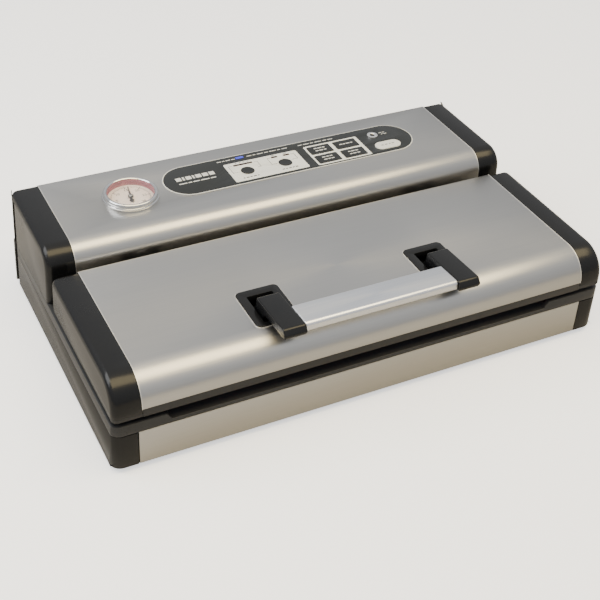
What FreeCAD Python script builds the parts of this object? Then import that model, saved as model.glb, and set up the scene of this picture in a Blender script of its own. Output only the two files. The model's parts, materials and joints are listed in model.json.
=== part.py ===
import FreeCAD, Part
import math
import os
import re
from FreeCAD import Placement, Rotation, Vector

# Countertop vacuum sealer: a base with a sealing deck, a hinged lid with a latching
# handle, and a rear housing with the gauge, the keys and the pump.
# Frame: +X to the right, +Y to the back, +Z up; the origin is on the table, under the
# middle of the machine. All sizes are millimetres.

SIZES = [
    # the outer shape
    ("base_half", 191.5, "half width of the base at its foot"),
    ("y_front", -112.0, "front face of the base"),
    ("y_rear", 117.0, "rearmost face"),
    ("z_tub", 4.5, "underside of the base tub"),
    ("z_rim", 32.3, "joint between the tub and the deck moulding"),
    ("z_rim_top", 40.4, "top of the deck's rim"),
    ("z_deck", 38.0, "deck surface under the lid"),
    ("side_slope", 1.9, "draft of the side walls, in degrees"),
    ("wall", 2.5, "moulded wall thickness"),
    ("steel", 0.8, "sheet thickness of the covers"),
    ("corner_front", 8.0, "plan radius of the base's front corners"),
    ("corner_rear", 4.0, "plan radius of the base's rear corners"),
    ("rim_wide", 4.2, "width of the deck's rim"),
    ("groove_front", 106.0, "front edge of the upright groove in each side"),
    ("groove_wide", 6.0, "width of that groove"),
    ("groove_deep", 3.0, "depth of that groove"),
    ("groove_top", 78.0, "top of that groove"),
    # front panel and bag slot
    ("panel_half", 173.0, "half width of the steel front panel"),
    ("panel_foot", 4.9, "lower edge of the steel front panel"),
    ("slot_left", -150.0, "left end of the bag slot's floor"),
    ("slot_right", 140.5, "right end of the bag slot's floor"),
    ("slot_floor", 35.4, "lip of the bag slot"),
    ("slot_back", -101.5, "rear end of the bag slot's ramp"),
    ("seam", 0.6, "shadow gap under the rim at the front"),
    # vacuum trough, gaskets and heat seal
    ("trough_half", 141.0, "half width of the vacuum trough"),
    ("trough_front", -78.0, "front wall of the trough"),
    ("trough_rear", -16.0, "rear wall of the trough"),
    ("trough_floor", 26.0, "floor of the trough"),
    ("tray_gap", 0.6, "clearance round the drip tray"),
    ("tray_wall", 1.2, "wall of the drip tray"),
    ("tray_high", 11.0, "height of the drip tray"),
    ("ring_half", 151.0, "half length of the gasket ring"),
    ("ring_front", -87.0, "front edge of the gasket ring"),
    ("ring_rear", -7.0, "rear edge of the gasket ring"),
    ("ring_wide", 7.0, "width of the gasket ring"),
    ("ring_corner", 12.0, "corner radius of the gasket ring"),
    ("seat_deep", 1.5, "depth of the gasket's seat in the deck"),
    ("gasket_top", 42.6, "top of the lower gasket"),
    ("seal_half", 153.0, "half length of the heat seal bar"),
    ("seal_y", -94.5, "middle line of the heat seal"),
    ("seal_wide", 9.0, "width of the heat seal bar"),
    ("seal_high", 1.6, "height of the heat seal bar over the deck"),
    ("element_wide", 3.0, "width of the heating element"),
    ("film", 0.2, "thickness of the heating element and of the tape"),
    # lid
    ("z_lid", 44.2, "underside of the lid"),
    ("z_lid_steel", 50.5, "lower edge of the lid's steel"),
    ("z_lid_top", 72.2, "top of the lid's steel"),
    ("lid_half", 170.0, "half width of the lid's steel"),
    ("lid_front", -112.3, "front of the lid"),
    ("lid_rear", 16.0, "rear of the lid"),
    ("lid_bow", 21.0, "radius of the lid's front"),
    ("lid_heel", 3.0, "radius of the lid's rear bend"),
    ("lid_skirt", 66.5, "lower edge of the steel's rear bend"),
    ("cap_step", 0.2, "how far the end caps lie below the steel"),
    ("cap_round", 5.0, "edge radius of the end caps"),
    ("frame_high", 3.0, "thickness of the lid frame's plate"),
    ("frame_step", 0.4, "how far the frame's ends lie inside the end caps"),
    # lid hinge
    ("hinge_y", 9.0, "lid hinge axis"),
    ("hinge_z", 60.0, "lid hinge axis"),
    ("hinge_x", 120.0, "middle of each hinge arm"),
    ("hinge_pin", 2.5, "radius of the hinge pins"),
    ("hinge_wide", 8.0, "width of a hinge arm"),
    ("hinge_hub", 5.2, "radius of a hinge arm's hub"),
    ("running", 0.05, "radial clearance of a turning fit"),
    ("side_play", 0.3, "clearance beside a turning arm"),
    # handle and latch
    ("latch_y", -66.0, "handle and latch axis"),
    ("latch_z", 60.0, "handle and latch axis"),
    ("shaft", 3.0, "radius of the latch shaft"),
    ("shaft_half", 167.0, "half length of the latch shaft"),
    ("arm_in", 58.2, "inner face of a handle arm"),
    ("arm_wide", 16.5, "width of a handle arm"),
    ("hook_in", 159.0, "inner face of a latch hook"),
    ("hook_wide", 5.0, "width of a latch hook"),
    ("bezel_x", 66.0, "middle of a handle bezel"),
    ("bezel_half", 16.0, "half width of a handle bezel"),
    ("bezel_front", -92.0, "front edge of a handle bezel"),
    ("bezel_rear", -52.0, "rear edge of a handle bezel"),
    ("bezel_high", 1.0, "height of a bezel over the steel"),
    ("arm_slot_half", 9.6, "half width of the slot for an arm"),
    ("arm_slot_front", -88.0, "front end of that slot"),
    ("arm_slot_rear", -59.0, "rear end of that slot"),
    # rear housing
    ("z_house", 83.4, "top of the housing's steel"),
    ("y_house", 25.0, "front face of the housing"),
    ("house_half", 168.1, "half width of the housing's steel"),
    ("house_bow", 15.0, "radius of the housing's front"),
    ("house_heel", 3.0, "radius of the housing's rear bend"),
    ("house_skirt", 66.0, "lower edge of the steel at the back"),
    ("rear_face", 115.5, "outer face of the rear panel"),
    # control panel
    ("overlay_left", -81.0, "left end of the control overlay"),
    ("overlay_right", 132.5, "right end of the control overlay"),
    ("overlay_front", 59.0, "front edge of the control overlay"),
    ("overlay_rear", 98.5, "rear edge of the control overlay"),
    ("overlay_high", 0.6, "thickness of the control overlay"),
    ("field_high", 0.15, "thickness of the white key fields"),
    ("key_gap", 0.25, "clearance round a key"),
    ("key_top", 84.6, "top of the keys"),
    ("key_high", 2.0, "height of a key"),
    ("key_travel", 0.4, "travel of a key"),
    ("round_key", 5.2, "radius of a round key"),
    ("flat_key_long", 19.6, "width of a rectangular key"),
    ("flat_key_deep", 11.4, "depth of a rectangular key"),
    ("stop_key_long", 22.4, "length of the cancel key"),
    ("stop_key_deep", 10.8, "depth of the cancel key"),
    ("board_top", 77.6, "upper face of the control board"),
    ("board", 1.6, "thickness of a circuit board"),
    ("port_x", 102.5, "accessory port"),
    ("port_y", 86.2, "accessory port"),
    ("port_flange", 4.4, "flange radius of the accessory port"),
    ("port_neck", 3.3, "neck radius of the accessory port"),
    ("port_bore", 2.0, "bore radius of the accessory port"),
    ("port_foot", 64.0, "lower end of the accessory port's neck"),
    ("hose_in", 2.6, "inner radius of the air hoses, and radius of the nipples"),
    ("hose_out", 3.6, "outer radius of the air hoses"),
    ("nipple_long", 6.0, "length of a hose nipple"),
    # gauge
    ("gauge_x", -109.2, "gauge centre"),
    ("gauge_y", 75.5, "gauge centre"),
    ("bezel_out", 21.4, "outer radius of the gauge bezel"),
    ("bezel_top", 87.8, "top of the gauge bezel"),
    ("case_out", 19.4, "outer radius of the gauge case"),
    ("case_in", 17.7, "inner radius of the gauge case"),
    ("case_foot", 66.0, "underside of the gauge case"),
    ("case_top", 86.0, "seat of the gauge lens"),
    ("dial_z", 81.0, "upper face of the dial"),
    ("needle_z", 82.0, "underside of the needle"),
    ("needle_long", 13.5, "length of the needle"),
    # pump, power and cord entry
    ("pump_y", 70.0, "pump axis"),
    ("pump_z", 32.0, "pump axis"),
    ("motor_out", 17.5, "radius of the pump motor"),
    ("motor_left", -18.0, "left end of the pump motor"),
    ("motor_right", 24.0, "right end of the pump motor"),
    ("fan_out", 15.0, "radius of the cooling fan"),
    ("fan_shaft", 1.5, "radius of the motor shaft"),
    ("gland_x", -130.0, "cord entry"),
    ("gland_z", 54.0, "cord entry"),
    ("gland_flange", 8.0, "flange radius of the cord entry"),
    ("gland_neck", 5.5, "neck radius of the cord entry"),
    ("gland_bore", 3.6, "bore radius of the cord entry"),
    ("foot_out", 9.0, "radius of a rubber foot"),
    ("screw", 1.5, "shank radius of a case screw"),
    ("screw_head", 3.0, "head radius of a case screw"),
]
DIM = {alias: value for alias, value, _ in SIZES}

doc = FreeCAD.newDocument("vacuum_sealer")
sheet = doc.addObject("Spreadsheet::Sheet", "sizes")
for row, (alias, value, note) in enumerate(SIZES, start=1):
    sheet.set(f"A{row}", note)
    sheet.set(f"B{row}", str(value))
    sheet.setAlias(f"B{row}", alias)
doc.recompute()

WORD = re.compile(r"[A-Za-z_]\w*")
made_nodes = []


# ---------------------------------------------------------------- helpers

def bind(obj, prop, formula):
    """Ties a property to a formula whose words are aliases of the sheet."""
    linked = WORD.sub(lambda m: f"sizes.{m[0]}" if m[0] in DIM else m[0], str(formula))
    obj.setExpression(prop, linked)


def box(name, x, y, z):
    """A block between limits; each of x, y and z is a (low, high) pair of formulas."""
    block = doc.addObject("Part::Box", name)
    for prop, axis, (low, high) in zip(("Length", "Width", "Height"), "xyz", (x, y, z)):
        bind(block, prop, f"({high}) - ({low})")
        bind(block, f"Placement.Base.{axis}", low)
    return block


def rod(name, radius, start, end, at, axis="z"):
    """A round bar from start to end along an axis, through the point `at` of the other two."""
    bar = doc.addObject("Part::Cylinder", name)
    turns = {"z": Rotation(), "x": Rotation(Vector(0, 1, 0), 90), "y": Rotation(Vector(1, 0, 0), -90)}
    bar.Placement = Placement(Vector(), turns[axis])
    bind(bar, "Radius", radius)
    bind(bar, "Height", f"({end}) - ({start})")
    others = [a for a in "xyz" if a != axis]
    bind(bar, f"Placement.Base.{axis}", start)
    for other, value in zip(others, at):
        bind(bar, f"Placement.Base.{other}", value)
    return bar


def fuse(name, *pieces):
    joined = doc.addObject("Part::MultiFuse", name)
    joined.Shapes = list(pieces)
    return joined


def cut(name, base, *tools):
    result = doc.addObject("Part::Cut", name)
    result.Base = base
    result.Tool = tools[0] if len(tools) == 1 else fuse(f"{name}_tools", *tools)
    return result


def bunch(name, *pieces):
    """Separate solids that share one node."""
    together = doc.addObject("Part::Compound", name)
    together.Links = list(pieces)
    return together


def mirror(name, source):
    """The same piece on the other side of the machine."""
    other = doc.addObject("Part::Mirroring", name)
    other.Source = source
    other.Normal = Vector(1, 0, 0)
    return other


def both_sides(name, piece):
    return [piece, mirror(f"{name}_mirrored", piece)]


def round_edges(name, base, radius, wanted):
    """Rounds the edges of a finished object that `wanted` picks."""
    doc.recompute()
    rounded = doc.addObject("Part::Fillet", name)
    rounded.Base = base
    picked = [i for i, edge in enumerate(base.Shape.Edges, start=1) if wanted(edge)]
    rounded.Edges = [(i, radius, radius) for i in picked]
    return rounded


def rounded_path(corners):
    """Lines and tangent arcs through corners (u, v, radius); a radius of 0 is a sharp corner."""
    points = [Vector(c[0], c[1], 0) for c in corners]
    radii = [c[2] if len(c) > 2 else 0 for c in corners]
    curves, ends = [], []
    for i, here in enumerate(points):
        back = (points[i - 1] - here).normalize()
        ahead = (points[(i + 1) % len(points)] - here).normalize()
        if radii[i] == 0:
            ends.append((here, here))
            continue
        half = back.getAngle(ahead) / 2
        reach = radii[i] / math.tan(half)
        centre = here + (back + ahead).normalize() * (radii[i] / math.sin(half))
        start, end = here + back * reach, here + ahead * reach
        middle = centre + (here - centre).normalize() * radii[i]
        curves.append(Part.Arc(start, middle, end))
        ends.append((start, end))
    for i, (_, leave) in enumerate(ends):
        arrive = ends[(i + 1) % len(ends)][0]
        if (arrive - leave).Length > 1e-6:
            curves.append(Part.LineSegment(leave, arrive))
    return curves


def circle(u, v, radius):
    return Part.Circle(Vector(u, v, 0), Vector(0, 0, 1), radius)


def profile(name, plane, outline, start, length, holes=()):
    """A body padded from an outline (corners) and holes (corners or circles) on a plane.

    XY pads along +Z, YZ along +X and XZ along -Y; `start` and `length` are formulas.
    """
    body = doc.addObject("PartDesign::Body", name)
    sketch = body.newObject("Sketcher::SketchObject", f"{name}_outline")
    origin = [f for f in body.Origin.OriginFeatures if f.Role == f"{plane}_Plane"][0]
    sketch.AttachmentSupport = [(origin, "")]
    sketch.MapMode = "FlatFace"
    bind(sketch, "AttachmentOffset.Base.z", start)
    for ring in (outline, *holes):
        curves = rounded_path(ring) if isinstance(ring, list) else [ring]
        sketch.addGeometry(curves, False)
    pad = body.newObject("PartDesign::Pad", f"{name}_pad")
    pad.Profile = sketch
    bind(pad, "Length", length)
    return body


def plan(left, right, front, rear, radius):
    """Corners of a rounded rectangle seen from above."""
    return [(left, front, radius), (right, front, radius), (right, rear, radius), (left, rear, radius)]


def node(name, obj):
    """Names the finished sub-part; the label is its file name."""
    obj.Label = name
    made_nodes.append(obj)
    return obj


def trim_sides(name, base):
    """Slopes both side walls inwards, as the moulds need."""
    tools = []
    tall, deep = 110, 300
    for side in (1, -1):
        tool = doc.addObject("Part::Box", f"{name}_side_{'right' if side > 0 else 'left'}")
        tool.Length, tool.Width, tool.Height = 40, deep, tall
        angle = -DIM["side_slope"] if side > 0 else DIM["side_slope"]
        turn = Rotation(Vector(0, 1, 0), angle)
        corner = Vector(0 if side > 0 else -40, -deep / 2, -DIM["z_tub"])
        foot = Vector(side * DIM["base_half"], 0, DIM["z_tub"])
        tool.Placement = Placement(foot + turn.multVec(corner), turn)
        tools.append(tool)
    return cut(name, base, *tools)


def side_grooves(name):
    """The upright groove near the rear end of each side, as cutting tools."""
    low, high = "base_half - groove_deep", "base_half + 5"
    span = ("groove_front", "groove_front + groove_wide")
    right = box(f"{name}_groove_right", (low, high), span, ("0", "groove_top"))
    left = box(f"{name}_groove_left", (f"-({high})", f"-({low})"), span, ("0", "groove_top"))
    return [right, left]


def outer_edge(edge):
    """True for the edges round the outer face of an end cap, except its foot."""
    low, high = edge.BoundBox.XMin, edge.BoundBox.ZMin
    return low > CAP_OUTER - 1.6 and not (edge.BoundBox.ZLength < 0.01 and high < DIM["z_lid"] + DIM["frame_high"] + 0.1)


CAP_OUTER = DIM["base_half"] - 1.5


# ---------------------------------------------------------------- base

def make_tub():
    corners = [
        (-DIM["base_half"], DIM["y_front"], DIM["corner_front"]),
        (DIM["base_half"], DIM["y_front"], DIM["corner_front"]),
        (DIM["base_half"], DIM["y_rear"], DIM["corner_rear"]),
        (-DIM["base_half"], DIM["y_rear"], DIM["corner_rear"]),
    ]
    block = profile("tub_block", "XY", corners, "z_tub", "z_rim - z_tub")
    hollow = box("tub_hollow", ("-(base_half - 5)", "base_half - 5"), ("y_front + 3.4", "y_rear - wall"),
                 ("z_tub + wall", "z_rim + 1"))
    recess = box("panel_recess", ("-panel_half - seam", "panel_half + 0.2"), ("y_front - 1", "y_front + steel"),
                 ("0", "z_rim + 1"))
    seam = box("front_seam", ("-base_half", "base_half"), ("y_front - 1", "y_front + seam"), ("z_rim - seam", "z_rim + 1"))
    shell = cut("tub_shell", block, hollow, recess, seam, *side_grooves("tub"))
    posts = []
    for i, (x, y) in enumerate(SCREW_SPOTS):
        posts.append(rod(f"boss_{i}", "4.5", "z_tub + 1", "22", (str(x), str(y))))
    for i, x in enumerate(REAR_SCREW_X):
        posts.append(box(f"post_{i}", (str(x - 4), str(x + 4)), ("103", "113"), ("z_tub + 1", "62")))
    body = fuse("tub_with_posts", shell, *posts)
    holes = []
    for i, (x, y) in enumerate(SCREW_SPOTS):
        holes.append(rod(f"screw_hole_{i}", "screw", "z_tub - 1", "18", (str(x), str(y))))
        holes.append(rod(f"head_hole_{i}", "screw_head + 0.3", "z_tub - 1", "z_tub + 1.7", (str(x), str(y))))
    for i, x in enumerate(REAR_SCREW_X):
        holes.append(rod(f"rear_hole_{i}", "screw", "104", "114", (str(x), str(REAR_SCREW_Z)), "y"))
    for row in range(2):
        for i in range(9):
            left = -20 + 9 * i
            front = 48 + 26 * row
            holes.append(box(f"vent_{row}_{i}", (str(left), str(left + 3.5)), (str(front), str(front + 18)),
                             ("0", "z_tub + wall + 1")))
    return node("base_tub", trim_sides("tub_finished", cut("tub_drilled", body, *holes)))


def ring_plan(inset=0.0):
    return plan(-DIM["ring_half"] + inset, DIM["ring_half"] - inset, DIM["ring_front"] + inset,
                DIM["ring_rear"] - inset, DIM["ring_corner"] - inset)


def make_deck():
    corners = [
        (-DIM["base_half"], DIM["y_front"], DIM["corner_front"]),
        (DIM["base_half"], DIM["y_front"], DIM["corner_front"]),
        (DIM["base_half"], DIM["y_rear"], DIM["corner_rear"]),
        (-DIM["base_half"], DIM["y_rear"], DIM["corner_rear"]),
    ]
    block = profile("deck_block", "XY", corners, "z_rim", "z_rim_top - z_rim")
    inner = ("-(base_half - 5)", "base_half - 5")
    top = box("deck_top", ("-(base_half - rim_wide)", "base_half - rim_wide"), ("y_front + rim_wide", "y_house"),
              ("z_deck", "z_rim_top + 1"))
    under = box("deck_under", inner, ("slot_back + 2", "y_rear - wall"), ("z_rim - 1", "z_deck - 2"))
    under_front = box("deck_under_front", inner, ("y_front + 3.4", "slot_back + 3"), ("z_rim - 1", "slot_floor - 2"))
    house_room = box("house_room", inner, ("y_house + 2", "y_rear - wall"), ("z_rim - 1", "z_rim_top + 1"))
    low, high = DIM["slot_floor"], DIM["z_rim_top"] + 1
    left, right = DIM["slot_left"], DIM["slot_right"]
    slot_outline = [(left, low), (right, low), (right + 4.5, high), (left - 4.5, high)]
    slot = profile("bag_slot", "XZ", slot_outline, "-slot_back", "slot_back - y_front + 1")
    plate = cut("deck_plate", block, top, under, under_front, house_room, slot, *side_grooves("deck"))
    trough = box("trough_outside", ("-trough_half - 2", "trough_half + 2"), ("trough_front - 2", "trough_rear + 2"),
                 ("trough_floor - 2", "z_deck - 1"))
    rise = [(DIM["y_front"] + 1.4, low), (DIM["slot_back"], low), (DIM["slot_back"], DIM["z_deck"])]
    ramp = profile("slot_ramp", "YZ", rise, "slot_left - 4", "slot_right - slot_left + 8")
    body = fuse("deck_with_trough", plate, trough, ramp)
    hollow = box("trough_inside", ("-trough_half", "trough_half"), ("trough_front", "trough_rear"),
                 ("trough_floor", "z_deck + 1"))
    seat = profile("gasket_seat", "XY", ring_plan(), "z_deck - seat_deep", "seat_deep + 1",
                   holes=[ring_plan(DIM["ring_wide"])])
    outlet = rod("trough_outlet", "2.5", "trough_floor - 5", "trough_floor + 1", ("110", "trough_rear - 8"))
    latches = both_sides("latch_slot", box("latch_slot", ("hook_in - 2.5", "hook_in + hook_wide + 2.5"),
                                           ("-93", "latch_y + 9"), ("z_deck - 3", "z_deck + 1")))
    drilled = cut("deck_drilled", body, hollow, seat, outlet, *latches)
    return node("deck", deck_sections(trim_sides("deck_finished", drilled)))


def deck_sections(whole):
    """The deck moulding in plain welded lengths: three in front, the trough with its two sides, and the rear."""
    left, right = "-(base_half + 5)", "base_half + 5"
    front = ("y_front - 5", "trough_front")
    middle = ("trough_front", "trough_rear")
    spaces = [((left, "slot_left"), front), (("slot_left", "slot_right"), front), (("slot_right", right), front),
              ((left, "-trough_half"), middle), (("-trough_half", "trough_half"), middle),
              (("trough_half", right), middle), ((left, right), ("trough_rear", "y_rear + 5"))]
    lengths = []
    for i, (x, y) in enumerate(spaces):
        length = doc.addObject("Part::MultiCommon", f"deck_length_{i}")
        length.Shapes = [whole, box(f"deck_space_{i}", x, y, ("0", "z_rim_top + 5"))]
        lengths.append(length)
    return bunch("deck_lengths", *lengths)


def make_seal():
    inset = DIM["tray_gap"]
    tray_plan = plan(-DIM["trough_half"] + inset, DIM["trough_half"] - inset, DIM["trough_front"] + inset,
                     DIM["trough_rear"] - inset, 6)
    solid = profile("tray_block", "XY", tray_plan, "trough_floor", "tray_high")
    inset += DIM["tray_wall"]
    well_plan = plan(-DIM["trough_half"] + inset, DIM["trough_half"] - inset, DIM["trough_front"] + inset,
                     DIM["trough_rear"] - inset, 4.8)
    well = profile("tray_well", "XY", well_plan, "trough_floor + tray_wall", "tray_high")
    drain = rod("tray_drain", "2.5", "trough_floor - 1", "trough_floor + 3", ("110", "trough_rear - 8"))
    node("drip_tray", cut("tray", solid, well, drain))

    node("lower_gasket", profile("gasket_low", "XY", ring_plan(0.2), "z_deck - seat_deep",
                                 "gasket_top - z_deck + seat_deep", holes=[ring_plan(DIM["ring_wide"] - 0.2)]))
    across = ("-seal_half", "seal_half")
    node("seal_bar", box("seal_bar", across, ("seal_y - seal_wide/2", "seal_y + seal_wide/2"),
                         ("z_deck", "z_deck + seal_high")))
    on_bar = "z_deck + seal_high"
    node("heating_element", box("element", ("-seal_half + 3", "seal_half - 3"),
                                ("seal_y - element_wide/2", "seal_y + element_wide/2"),
                                (on_bar, f"{on_bar} + film")))
    node("seal_tape", box("tape", ("-seal_half + 1", "seal_half - 1"),
                          ("seal_y - seal_wide/2 + 0.5", "seal_y + seal_wide/2 - 0.5"),
                          (f"{on_bar} + film", f"{on_bar} + 2*film")))


def make_latch_keepers():
    keeper = box("keeper", ("hook_in - 5", "hook_in + hook_wide + 5"), ("latch_y + 9.2", "latch_y + 20"),
                 ("z_deck - 3.8", "z_deck - 2"))
    node("latch_keepers", bunch("keepers", *both_sides("keeper", keeper)))


def make_hinge_arms():
    y, z, hub = DIM["hinge_y"], DIM["hinge_z"], DIM["hinge_hub"]
    outline = [(y - hub, DIM["z_deck"] + 1), (y + hub, DIM["z_deck"] + 1), (y + hub, z + hub, hub - 0.01),
               (y - hub, z + hub, hub - 0.01)]
    bore = circle(y, z, DIM["hinge_pin"] + DIM["running"])
    arm = profile("hinge_arm", "YZ", outline, "hinge_x - hinge_wide/2", "hinge_wide", holes=[bore])
    foot = box("hinge_foot", ("hinge_x - 13", "hinge_x + 13"), ("hinge_y - 6", "hinge_y + 6"),
               ("z_deck", "z_deck + 1.6"))
    bracket = fuse("hinge_bracket", arm, foot)
    node("hinge_arms", bunch("hinge_brackets", *both_sides("hinge_bracket", bracket)))


def make_feet_and_screws():
    feet = []
    for i, (x, y) in enumerate(FOOT_SPOTS):
        pad = rod(f"foot_{i}", "foot_out", "0", "z_tub", (str(x), str(y)))
        feet.append(pad)
    node("rubber_feet", bunch("feet", *feet))
    screws = []
    for i, (x, y) in enumerate(SCREW_SPOTS):
        head = rod(f"head_{i}", "screw_head", "z_tub + 0.2", "z_tub + 1.7", (str(x), str(y)))
        shank = rod(f"shank_{i}", "screw", "z_tub + 1.6", "17", (str(x), str(y)))
        screws.append(fuse(f"screw_{i}", head, shank))
    for i, x in enumerate(REAR_SCREW_X):
        head = rod(f"rear_head_{i}", "screw_head", "rear_face", "rear_face + 1.3", (str(x), str(REAR_SCREW_Z)), "y")
        shank = rod(f"rear_shank_{i}", "screw", "105", "rear_face + 0.1", (str(x), str(REAR_SCREW_Z)), "y")
        screws.append(fuse(f"rear_screw_{i}", head, shank))
    node("case_screws", bunch("screws", *screws))


FOOT_SPOTS = [(x, y) for x in (-165, 165) for y in (-90, 95)]
SCREW_SPOTS = [(x, y) for x in (-172, 172) for y in (-60, 20)]
REAR_SCREW_X = (-152, 152)
REAR_SCREW_Z = 54


# ---------------------------------------------------------------- lid

def bent_sheet(front, front_foot, top, rear, rear_foot, bow, heel):
    """Outline of a steel cover seen from the side: up the front, over the top, down the back."""
    t = DIM["steel"]
    return [(front, front_foot), (front, top, bow), (rear, top, heel), (rear, rear_foot),
            (rear - t, rear_foot), (rear - t, top - t, heel - t), (front + t, top - t, bow - t),
            (front + t, front_foot)]


def make_lid_cover():
    outline = bent_sheet(DIM["lid_front"], DIM["z_lid_steel"], DIM["z_lid_top"], DIM["lid_rear"],
                         DIM["lid_skirt"], DIM["lid_bow"], DIM["lid_heel"])
    sheet_metal = profile("lid_sheet", "YZ", outline, "-lid_half", "2*lid_half")
    window = box("bezel_window", ("bezel_x - bezel_half + 2", "bezel_x + bezel_half - 2"),
                 ("bezel_front + 2", "bezel_rear - 2"), ("z_lid_top - 3", "z_lid_top + 1"))
    node("lid_cover", cut("lid_sheet_cut", sheet_metal, *both_sides("bezel_window", window)))


def make_lid_caps():
    step, wall = DIM["cap_step"], DIM["wall"]
    front, rear, top = DIM["lid_front"] + step, DIM["lid_rear"], DIM["z_lid_top"] - step
    bow = DIM["lid_bow"]
    foot = DIM["z_lid"] + DIM["frame_high"]
    outline = [(front, foot), (front, top, bow), (rear, top, 5.4), (rear, foot)]
    block = profile("lid_cap_block", "YZ", outline, "lid_half", "base_half - lid_half")
    sloped = trim_sides("lid_cap_sloped", block)
    rounded = round_edges("lid_cap_rounded", sloped, DIM["cap_round"], outer_edge)
    inside = [(front + wall, foot - 1), (front + wall, top - wall, bow - wall),
              (rear - wall, top - wall, 2), (rear - wall, foot - 1)]
    hollow = profile("lid_cap_hollow", "YZ", inside, "lid_half - 1", "base_half - lid_half - 4.5")
    cap = cut("lid_cap_shell", rounded, hollow)
    node("lid_cap_right", cap)
    node("lid_cap_left", mirror("lid_cap_mirrored", cap))


def make_lid_frame():
    half = "lid_half - 0.2"
    front, rear = "lid_front + 0.1", "lid_rear - 0.1"
    plate = box("frame_plate", (f"-({half})", half), (front, rear), ("z_lid", "z_lid + frame_high"))
    end = DIM["base_half"] - 1.4 - DIM["frame_step"]
    ends = profile("frame_ends", "XY", plan(-end, end, DIM["lid_front"] + DIM["frame_step"],
                                            DIM["lid_rear"] - DIM["frame_step"], 4), "z_lid", "frame_high")
    front_wall = box("frame_front", (f"-({half})", half), (front, f"{front} + wall"), ("z_lid", "z_lid_steel"))
    rear_wall = box("frame_rear", (f"-({half})", half), ("lid_rear - wall", rear), ("z_lid", "lid_skirt"))
    bearings = []
    for inner in (82, 148):
        block = box(f"bearing_{inner}", (str(inner), str(inner + 6)), ("latch_y - 6", "latch_y + 6"),
                    ("z_lid + 1", "latch_z + 6"))
        bearings += both_sides(f"bearing_{inner}", block)
    bosses = [rod(f"lid_boss_{i}", "4", "z_lid + 1", "58", (str(x), str(y)))
              for i, (x, y) in enumerate(LID_SCREW_SPOTS)]
    body = fuse("frame_solid", plate, ends, front_wall, rear_wall, *bearings, *bosses)
    shaft_bore = rod("shaft_bore", "shaft + running", "-lid_half", "lid_half", ("latch_y", "latch_z"), "x")
    hook_room = box("hook_room", ("hook_in - 2", "hook_in + hook_wide + 2"), ("-94", "latch_y + 9.5"),
                    ("z_lid - 1", "z_lid_steel + 1"))
    hinge_room = box("hinge_room", ("hinge_x - 13", "hinge_x + 13"), ("hinge_y - 9.5", "lid_rear + 1"),
                     ("z_lid - 1", "lid_skirt + 1"))
    seat = profile("upper_seat", "XY", ring_plan(), "z_lid - 1", "2.8", holes=[ring_plan(DIM["ring_wide"])])
    strip_seat = box("strip_seat", ("-seal_half", "seal_half"), ("seal_y - seal_wide/2", "seal_y + seal_wide/2"),
                     ("z_lid - 1", "z_lid + 1.5"))
    holes = [rod(f"lid_screw_hole_{i}", "screw", "z_lid - 1", "56", (str(x), str(y)))
             for i, (x, y) in enumerate(LID_SCREW_SPOTS)]
    heads = [rod(f"lid_head_hole_{i}", "screw_head + 0.3", "z_lid - 1", "z_lid + 1.6", (str(x), str(y)))
             for i, (x, y) in enumerate(LID_SCREW_SPOTS)]
    rooms = both_sides("hook_room", hook_room) + both_sides("hinge_room", hinge_room)
    node("lid_frame", cut("frame_cut", body, shaft_bore, seat, strip_seat, *rooms, *holes, *heads))

    node("lid_gasket", profile("gasket_high", "XY", ring_plan(0.2), "gasket_top + 0.4",
                               "z_lid + 1.8 - gasket_top - 0.4", holes=[ring_plan(DIM["ring_wide"] - 0.2)]))
    node("pressure_strip", box("strip", ("-seal_half", "seal_half"),
                               ("seal_y - seal_wide/2", "seal_y + seal_wide/2"),
                               ("z_deck + seal_high + 2*film + 0.6", "z_lid + 1.5")))
    screws = []
    for i, (x, y) in enumerate(LID_SCREW_SPOTS):
        head = rod(f"lid_head_{i}", "screw_head", "z_lid + 0.3", "z_lid + 1.6", (str(x), str(y)))
        shank = rod(f"lid_shank_{i}", "screw", "z_lid + 1.5", "55", (str(x), str(y)))
        screws.append(fuse(f"lid_screw_{i}", head, shank))
    node("lid_screws", bunch("lid_screw_set", *screws))


LID_SCREW_SPOTS = [(x, y) for x in (-160, 160) for y in (-104, 6)]


def make_lid_hinges():
    cheeks = []
    for i, (near, far) in enumerate((("-10", "-hinge_wide/2 - side_play"), ("hinge_wide/2 + side_play", "10"))):
        blank = box(f"cheek_{i}", (f"hinge_x + {near}", f"hinge_x + {far}"), ("hinge_y - 6", "hinge_y + 5"),
                    ("z_lid + frame_high", "hinge_z + 5.4"))
        bore = rod(f"cheek_bore_{i}", "hinge_pin", "hinge_x - 20", "hinge_x + 20", ("hinge_y", "hinge_z"), "x")
        cheeks.append(cut(f"cheek_cut_{i}", blank, bore))
    bridge = box("cheek_bridge", ("hinge_x - 14", "hinge_x + 14"), ("hinge_y - 14", "hinge_y - 6"),
                 ("z_lid + frame_high", "z_lid + frame_high + 8"))
    bracket = fuse("lid_hinge", *cheeks, bridge)
    node("lid_hinges", bunch("lid_hinge_set", *both_sides("lid_hinge", bracket)))
    pin = rod("hinge_pin_right", "hinge_pin", "hinge_x - 10.5", "hinge_x + 10.5", ("hinge_y", "hinge_z"), "x")
    node("hinge_pins", bunch("hinge_pin_set", *both_sides("hinge_pin", pin)))


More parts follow.
